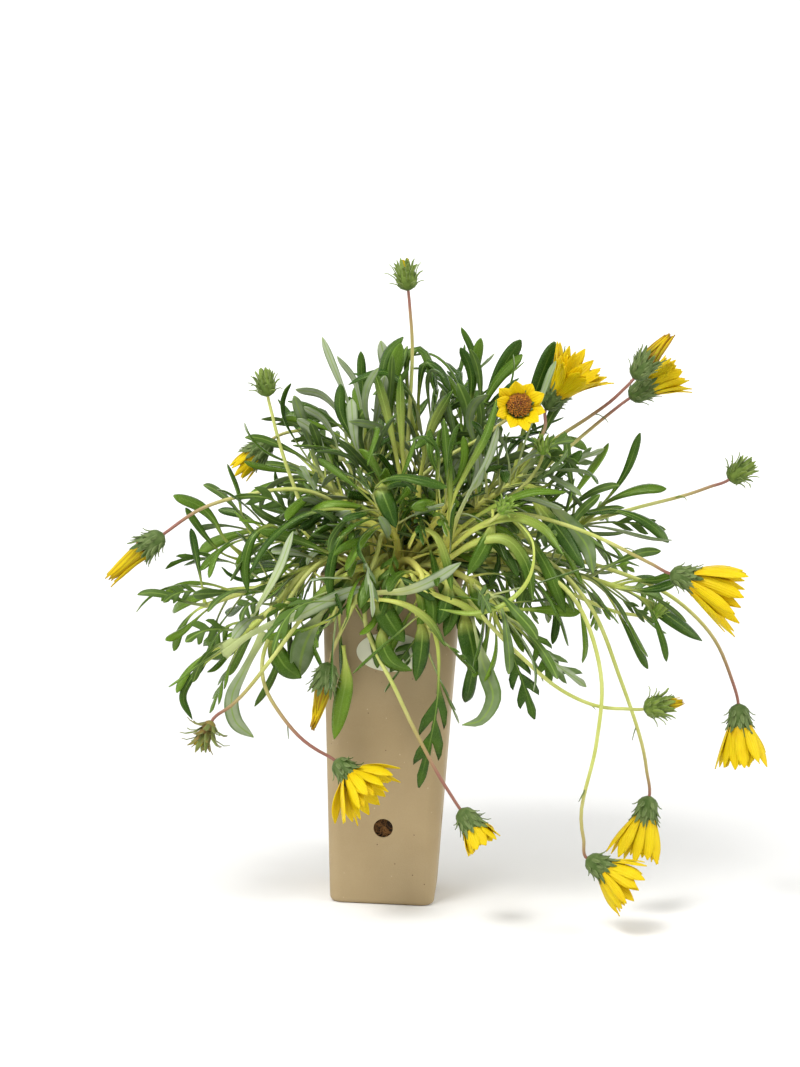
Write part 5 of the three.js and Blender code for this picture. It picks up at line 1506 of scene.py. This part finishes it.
bract_finish = {}
BRACT_TONES = {
    "cup": (BRACT_GREEN, BRACT_GREY),
    "bud": (BUD_GREEN, BUD_LIGHT),
    "small_bud": (SMALL_BUD_GREEN, SMALL_BUD_LIGHT),
    "withered": (WITHERED_BROWN, WITHERED_GREEN),
}
for name, (low, high) in BRACT_TONES.items():
    made, tree, shader = finish_of("bract_" + name, Specular_IOR_Level=0.25, Sheen_Weight=0.04)
    where, patches, grain = unevenness(tree, 260, 2200)
    along, tone = read(tree, "along"), read(tree, "tone")
    off_rib = add(tree, "Math", {0: read(tree, "across")}, operation="ABSOLUTE").outputs[0]
    mingled = add(tree, "Math", {0: patches, 1: tone}, operation="ADD").outputs[0]
    colour = mix(tree, ramp(tree, mingled, 0.1, 1.3), low, high)
    near_edge = ramp(tree, off_rib, 0.45, 0.9)
    near_tip = ramp(tree, along, 0.3, 0.6, 0, 0.55)
    margin = add(tree, "Math", {0: near_edge, 1: near_tip}, operation="MULTIPLY").outputs[0]
    tree.links.new(mix(tree, margin, colour, BRACT_PALE), shader.inputs["Base Color"])
    tree.links.new(ramp(tree, grain, 0, 1, 0.55, 0.75), shader.inputs["Roughness"])
    bump(tree, shader, grain, 0.1)
    bract_finish[name] = made

# ---------------------------------------------------------------------------------- rays and discs
# The yellow rays stand in rings in the cup. Each is a thin strap with a shallow fold that narrows to a
# tip; closed, they wrap round each other and show a dull stripe outside. In the middle is a disc of
# small tube-shaped florets, golden where they are open and brown where not.
RAY_WIDTH = 5.4
RAY_LENGTH = 22
RAY_THICKNESS = 0.26
RAY_SAG = 0.6
RAY_ROWS = [
    (0, 0.46, 0, 0.46, 0), (0.16, 0.6, 0, 0.6, 0), (0.36, 0.86, 0, 0.86, 0), (0.54, 1, 0, 1, 0),
    (0.68, 0.96, 0, 0.96, 0), (0.8, 0.76, 0, 0.76, 0), (0.9, 0.46, 0, 0.46, 0), (1, 0.07, 0, 0.07, 0),
]
# How far rays lean at their foot and at their tip, as shares of the head's spread.
CURVE_UP = (0.55, 1.25)
CURVE_HANGING = (1.2, 0.75)
DISC_RADIUS = 5.4
DISC_FLORETS = 110
DISC_IN_OPEN_HEAD = 1.6
DISC_IN_CUP = -1.4
RAY_YELLOW = (0.68, 0.48, 0.002, 1)
RAY_LEMON = (0.72, 0.57, 0.003, 1)
RAY_GOLD = (0.66, 0.34, 0.006, 1)
RAY_OLIVE = (0.22, 0.11, 0.008, 1)
RAY_GREEN = (0.24, 0.27, 0.012, 1)
FLORET_BROWN = (0.22, 0.055, 0.008, 1)
FLORET_GOLD = (0.72, 0.30, 0.02, 1)


def ray_arch(side, reach):
    """Height across a ray: a shallow fold along the middle and edges that rise."""
    if side < 0.1:
        return -0.28
    if side < 0.9:
        return 0.12 * reach
    return 0.22 * reach


ray_blade = blade(rounded(RAY_ROWS), RAY_WIDTH / 2, RAY_LENGTH, RAY_THICKNESS, ray_arch, 0.1)


def ray_parts(plan, curve, draw):
    """An outer ring of rays that open by the head's spread, and another inside it, which a head with
    broad rays lacks. Closed ones lean in until they meet. No two are quite alike."""
    count, spread, long = plan["rays"], plan["spread"], plan["ray"]
    closed = min(1.0, max(0.0, 1 - spread / 12))
    narrowing = min(1.25, max(0.66, 0.4 + spread / 24)) * plan.get("broad", 1)
    leave, end = curve
    parts = []
    for k in range(count if "broad" in plan else 2 * count - 2):
        inner = k >= count
        ring = count - 2 if inner else count
        turn = (k + 0.5 * inner + 0.3 * (draw() - 0.5)) / ring * 2 * math.pi
        open_by = spread * (0.68 if inner else 1) + (7 + 0.16 * spread) * (draw() - 0.5) - 11 * closed
        length = long * (0.86 + 0.26 * draw() - 0.08 * inner) + 3.4
        if draw() < 0.08 and closed < 0.5:
            open_by += 12
        radius = 3.2 if inner else 4.5
        lean_from, lean_to = leave * open_by, end * open_by
        spine, ways, faces = leaning_line(turn, radius, CUP_LENGTH - 3, length, lean_from, lean_to, 8)
        roll = math.radians(40 * (draw() - 0.5))
        faces = faces * math.cos(roll) + np.cross(ways, faces) * math.sin(roll)
        parts.append({
            "points": laid(ray_blade, (spine, ways, faces), narrowing * (0.82 + 0.3 * draw()), 1),
            "faces": ray_blade["faces"],
            "slot": 0,
            "along": ray_blade["points"][:, 1],
            "across": ray_blade["across"],
            "tone": plan.get("stripe", 0) + 0.2 * draw(),
        })
    return parts


bpy.ops.object.select_all(action="DESELECT")
bpy.ops.mesh.primitive_cone_add(vertices=6, radius1=0.34, radius2=0.5, depth=1.6, location=(0, 0, 0.8))
floret = start("floret")
bpy.ops.object.mode_set(mode="EDIT")
pick(floret, "FACE", lambda f: f.normal.z > 0.9)
bpy.ops.mesh.inset(thickness=0.16)
bpy.ops.transform.translate(value=(0, 0, -0.4))
bpy.ops.object.mode_set(mode="OBJECT")
floret = blank(floret)


def disc_parts(radius, florets, foot, draw):
    """Tube florets set like seeds over a low dome, the outer ones open and taller."""
    parts = []
    for k in range(florets):
        share = math.sqrt((k + 0.5) / florets)
        turn = k * GOLDEN_ANGLE
        out = np.array([math.cos(turn), math.sin(turn), 0])
        lean = 0.5 * share
        up = out * math.sin(lean) + (0, 0, math.cos(lean))
        tall = 0.75 + 0.35 * share + 0.3 * draw()
        turned_up = np.array(Vector((0, 0, 1)).rotation_difference(Vector(up)).to_matrix())
        points = floret["points"] * (1, 1, tall) @ turned_up.T
        middle = out * radius * share + (0, 0, foot + 0.8 * (1 - share * share))
        parts.append({
            "points": points + middle,
            "faces": floret["faces"],
            "slot": 0,
            "along": np.clip(floret["points"][:, 2] / 1.6, 0, 1),
            "tone": share * 0.5 + 0.6 * draw(),
        })
    return parts


ray_skin, tree, shader = finish_of("ray_skin", Specular_IOR_Level=0.15, Subsurface_Weight=0.15)
shader.inputs["Subsurface Radius"].default_value = (1.0, 0.7, 0.1)
shader.inputs["Subsurface Scale"].default_value = 0.8 * MM
where, patches, grain = unevenness(tree, 140, 2000)
along, across, closed = read(tree, "along"), read(tree, "across"), read(tree, "tone")
colour = mix(tree, patches, RAY_YELLOW, RAY_LEMON)
fold = add(tree, "Math", {0: across}, operation="ABSOLUTE").outputs[0]
rib_turns = add(tree, "Math", {0: across, 1: 19}, operation="MULTIPLY").outputs[0]
ribs = add(tree, "Math", {0: rib_turns}, operation="SINE").outputs[0]
colour = mix(tree, ramp(tree, ribs, -1, 1, 0, 0.16), colour, RAY_GOLD)
colour = mix(tree, ramp(tree, along, 0.3, 0.06, 0, 0.55), colour, RAY_GOLD)
dull = add(tree, "Math", {0: closed, 1: ramp(tree, fold, 0.5, 0.15)}, operation="MULTIPLY").outputs[0]
in_cup = ramp(tree, along, 0.8, 0.3)
how_closed = ramp(tree, closed, 0.35, 0.9, 0, 0.85)
green = add(tree, "Math", {0: in_cup, 1: how_closed}, operation="MULTIPLY").outputs[0]
colour = mix(tree, green, colour, RAY_GREEN)
colour = mix(tree, ramp(tree, dull, 0.2, 0.8, 0, 0.9), colour, RAY_OLIVE)
colour = mix(tree, ramp(tree, closed, 0.25, 1, 0, 0.2), colour, RAY_GOLD)
tree.links.new(colour, shader.inputs["Base Color"])
tree.links.new(ramp(tree, grain, 0, 1, 0.42, 0.58), shader.inputs["Roughness"])
bump(tree, shader, ribs, 0.06)

disc_skin, tree, shader = finish_of("disc_floret", Roughness=0.6, Subsurface_Weight=0.05)
shader.inputs["Subsurface Scale"].default_value = 0.4 * MM
where, patches, grain = unevenness(tree, 500, 2500)
gilt = add(tree, "Math", {0: read(tree, "along"), 1: read(tree, "tone")}, operation="MULTIPLY").outputs[0]
colour = mix(tree, ramp(tree, gilt, 0.15, 0.75), FLORET_BROWN, FLORET_GOLD)
tree.links.new(colour, shader.inputs["Base Color"])
bump(tree, shader, grain, 0.08)

for i, (plan, line) in enumerate(zip(FLOWERS, stalk_lines)):
    draw = random_from(700 + 13 * i)
    name, size, end = plan["name"], plan.get("size", 1.0), line[-1]
    necked = with_neck(line, plan["faces"])
    stalk = stem_part(necked, STALK_FOOT, STALK_HEAD, sides=10)
    stalk["tone"] = plan["blush"]
    parts = [stalk]
    spine, ways, faces = framed(necked)
    for k in (len(necked) - 4, len(necked) - 14):
        if draw() < 0.3:
            continue
        side = turned(faces[k], ways[k], draw() * 360)
        hair = {
            "foot": spine[k],
            "way": unit(ways[k] + 0.8 * side),
            "face": -side,
            "length": 5 + 5 * draw(),
            "droop": 1.4,
            "sway": 0.6,
            "twist": 0.5,
        }
        parts.append({
            "points": laid(bract_tip, leaf_line(hair), 0.32, 1),
            "faces": bract_tip["faces"],
            "slot": 1,
            "along": 0.3 + 0.7 * bract_tip["points"][:, 1],
            "tone": 0.5,
        })
    parts += set_on(cup_parts(plan["head"], size, draw), end, plan["faces"])
    if "yellow" in plan:
        spread, lower = (-1, 2.6) if plan["head"] == "bud" else (8, 3.2)
        tuft = {"rays": 7, "spread": spread, "ray": plan["yellow"], "stripe": 0.5}
        tuft_parts = ray_parts(tuft, CURVE_UP, draw)
        for part in tuft_parts:
            part["points"] = part["points"] * (0.62, 0.62, 1) - (0, 0, lower)
            part["slot"] = 2
        parts += set_on(tuft_parts, end, plan["faces"])
    finishes = [stalk_skin, bract_finish[plan["head"]], ray_skin]
    stem_and_cup = gathered("flower_stalk_" + name, parts, finishes)
    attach(stem_and_cup, "root")
    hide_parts("stalk_" + name)
    if "rays" not in plan:
        continue
    sag = RAY_SAG * math.hypot(*plan["faces"][:2])
    curve = plan.get("curve", CURVE_HANGING if plan["faces"][2] < -0.1 else CURVE_UP)
    rays = set_on(ray_parts(plan, curve, draw), end, plan["faces"], sag)
    ring = gathered("ray_florets_" + name, rays, [ray_skin])
    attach(ring, "root")
    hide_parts("rays_" + name)
    is_open = name == "facing"
    foot = CUP_LENGTH + (DISC_IN_OPEN_HEAD if is_open else DISC_IN_CUP)
    count = DISC_FLORETS if is_open else DISC_FLORETS // 3
    radius = DISC_RADIUS if is_open else DISC_RADIUS * 0.72
    florets = set_on(disc_parts(radius, count, foot, draw), end, plan["faces"])
    disc = gathered("disc_florets_" + name, florets, [disc_skin])
    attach(disc, "root")
    if is_open:
        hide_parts("disc_facing")

# ---------------------------------------------------------------------------------- studio and camera
# A pale floor that sweeps up behind the plant, soft light from all round with a broad lamp above, and
# the camera in front, a little above the rim. Sizes and places of floor and lamps are in metres and a
# lamp's power in watts; the lens has its focal length as a share of the picture's longer side.
FLOOR_SIZE = 6
BACKDROP_HEIGHT = 4
BACKDROP_SWEEP = 1.6
FLOOR_PALE = (0.86, 0.86, 0.85, 1)
FLOOR_WARM = (0.84, 0.835, 0.82, 1)
CAMERA_TURN = math.radians(3)
CAMERA_ROLL = math.radians(1.8)
CAMERA_AWAY = 1300
CAMERA_HEIGHT = 347.7
CAMERA_SIDE = 2.3
LOOKS_AT_HEIGHT = 183.7
SENSOR = 36
FOCAL_SHARE = 2620 / 1067

bpy.ops.object.select_all(action="DESELECT")
bpy.ops.mesh.primitive_plane_add(size=FLOOR_SIZE, location=(0, 0, 0))
studio = start("studio_floor")
bpy.ops.object.mode_set(mode="EDIT")
far_back = FLOOR_SIZE / 2 - 0.1
pick(studio, "EDGE", lambda e: min(v.co.y for v in e.verts) > far_back)
bpy.ops.mesh.extrude_region_move(TRANSFORM_OT_translate={"value": (0, 0, BACKDROP_HEIGHT)})
pick(studio, "EDGE", lambda e: min(v.co.y for v in e.verts) > far_back and max(v.co.z for v in e.verts) < 0.1)
bpy.ops.mesh.bevel(offset=BACKDROP_SWEEP, segments=16, affect="EDGES")
bpy.ops.object.mode_set(mode="OBJECT")
bpy.ops.object.shade_smooth()
floor_paint, tree, shader = finish_of("floor_paint", Roughness=0.9, Specular_IOR_Level=0.1)
where, patches, grain = unevenness(tree, 1.5, 300)
tree.links.new(mix(tree, patches, FLOOR_PALE, FLOOR_WARM), shader.inputs["Base Color"])
studio.data.materials.append(floor_paint)

world = bpy.data.worlds.new("studio_air")
world.use_nodes = True
world.node_tree.nodes["Background"].inputs["Color"].default_value = (1, 1, 1, 1)
world.node_tree.nodes["Background"].inputs["Strength"].default_value = 0.7
bpy.context.scene.world = world
AT_PLANT = (0, 0, 0.17)
AT_BACKDROP = (0, 3, 0.9)
LAMPS = [
    ("lamp_above", (-0.5, -0.9, 1.5), AT_PLANT, 0.6, 21),
    ("lamp_right", (1.3, -0.1, 0.7), AT_PLANT, 0.9, 9.5),
    ("lamp_left", (-1.3, -0.5, 0.5), AT_PLANT, 0.9, 5),
    ("lamp_behind", (0, 1.3, 1.9), AT_BACKDROP, 1.6, 30),
]
for name, place, lit, size, power in LAMPS:
    lamp_data = bpy.data.lights.new(name, "AREA")
    lamp_data.size = size
    lamp_data.energy = power
    lamp = bpy.data.objects.new(name, lamp_data)
    lamp.location = place
    lamp.rotation_euler = (Vector(lit) - Vector(place)).to_track_quat("-Z", "Y").to_euler()
    bpy.context.scene.collection.objects.link(lamp)

turn = Matrix.Rotation(CAMERA_TURN, 3, "Z")
eye = turn @ Vector((CAMERA_SIDE, -CAMERA_AWAY, CAMERA_HEIGHT)) * MM
target = turn @ Vector((CAMERA_SIDE, 0, LOOKS_AT_HEIGHT)) * MM
camera_data = bpy.data.cameras.new("camera")
camera_data.sensor_width = SENSOR
camera_data.lens = SENSOR * FOCAL_SHARE
camera_data.clip_end = 50
camera = bpy.data.objects.new("camera", camera_data)
looking = (target - eye).to_track_quat("-Z", "Y").to_matrix() @ Matrix.Rotation(CAMERA_ROLL, 3, "Z")
camera.matrix_world = Matrix.Translation(eye) @ looking.to_4x4()
bpy.context.scene.collection.objects.link(camera)
bpy.context.scene.camera = camera
bpy.context.scene.view_settings.view_transform = "Standard"
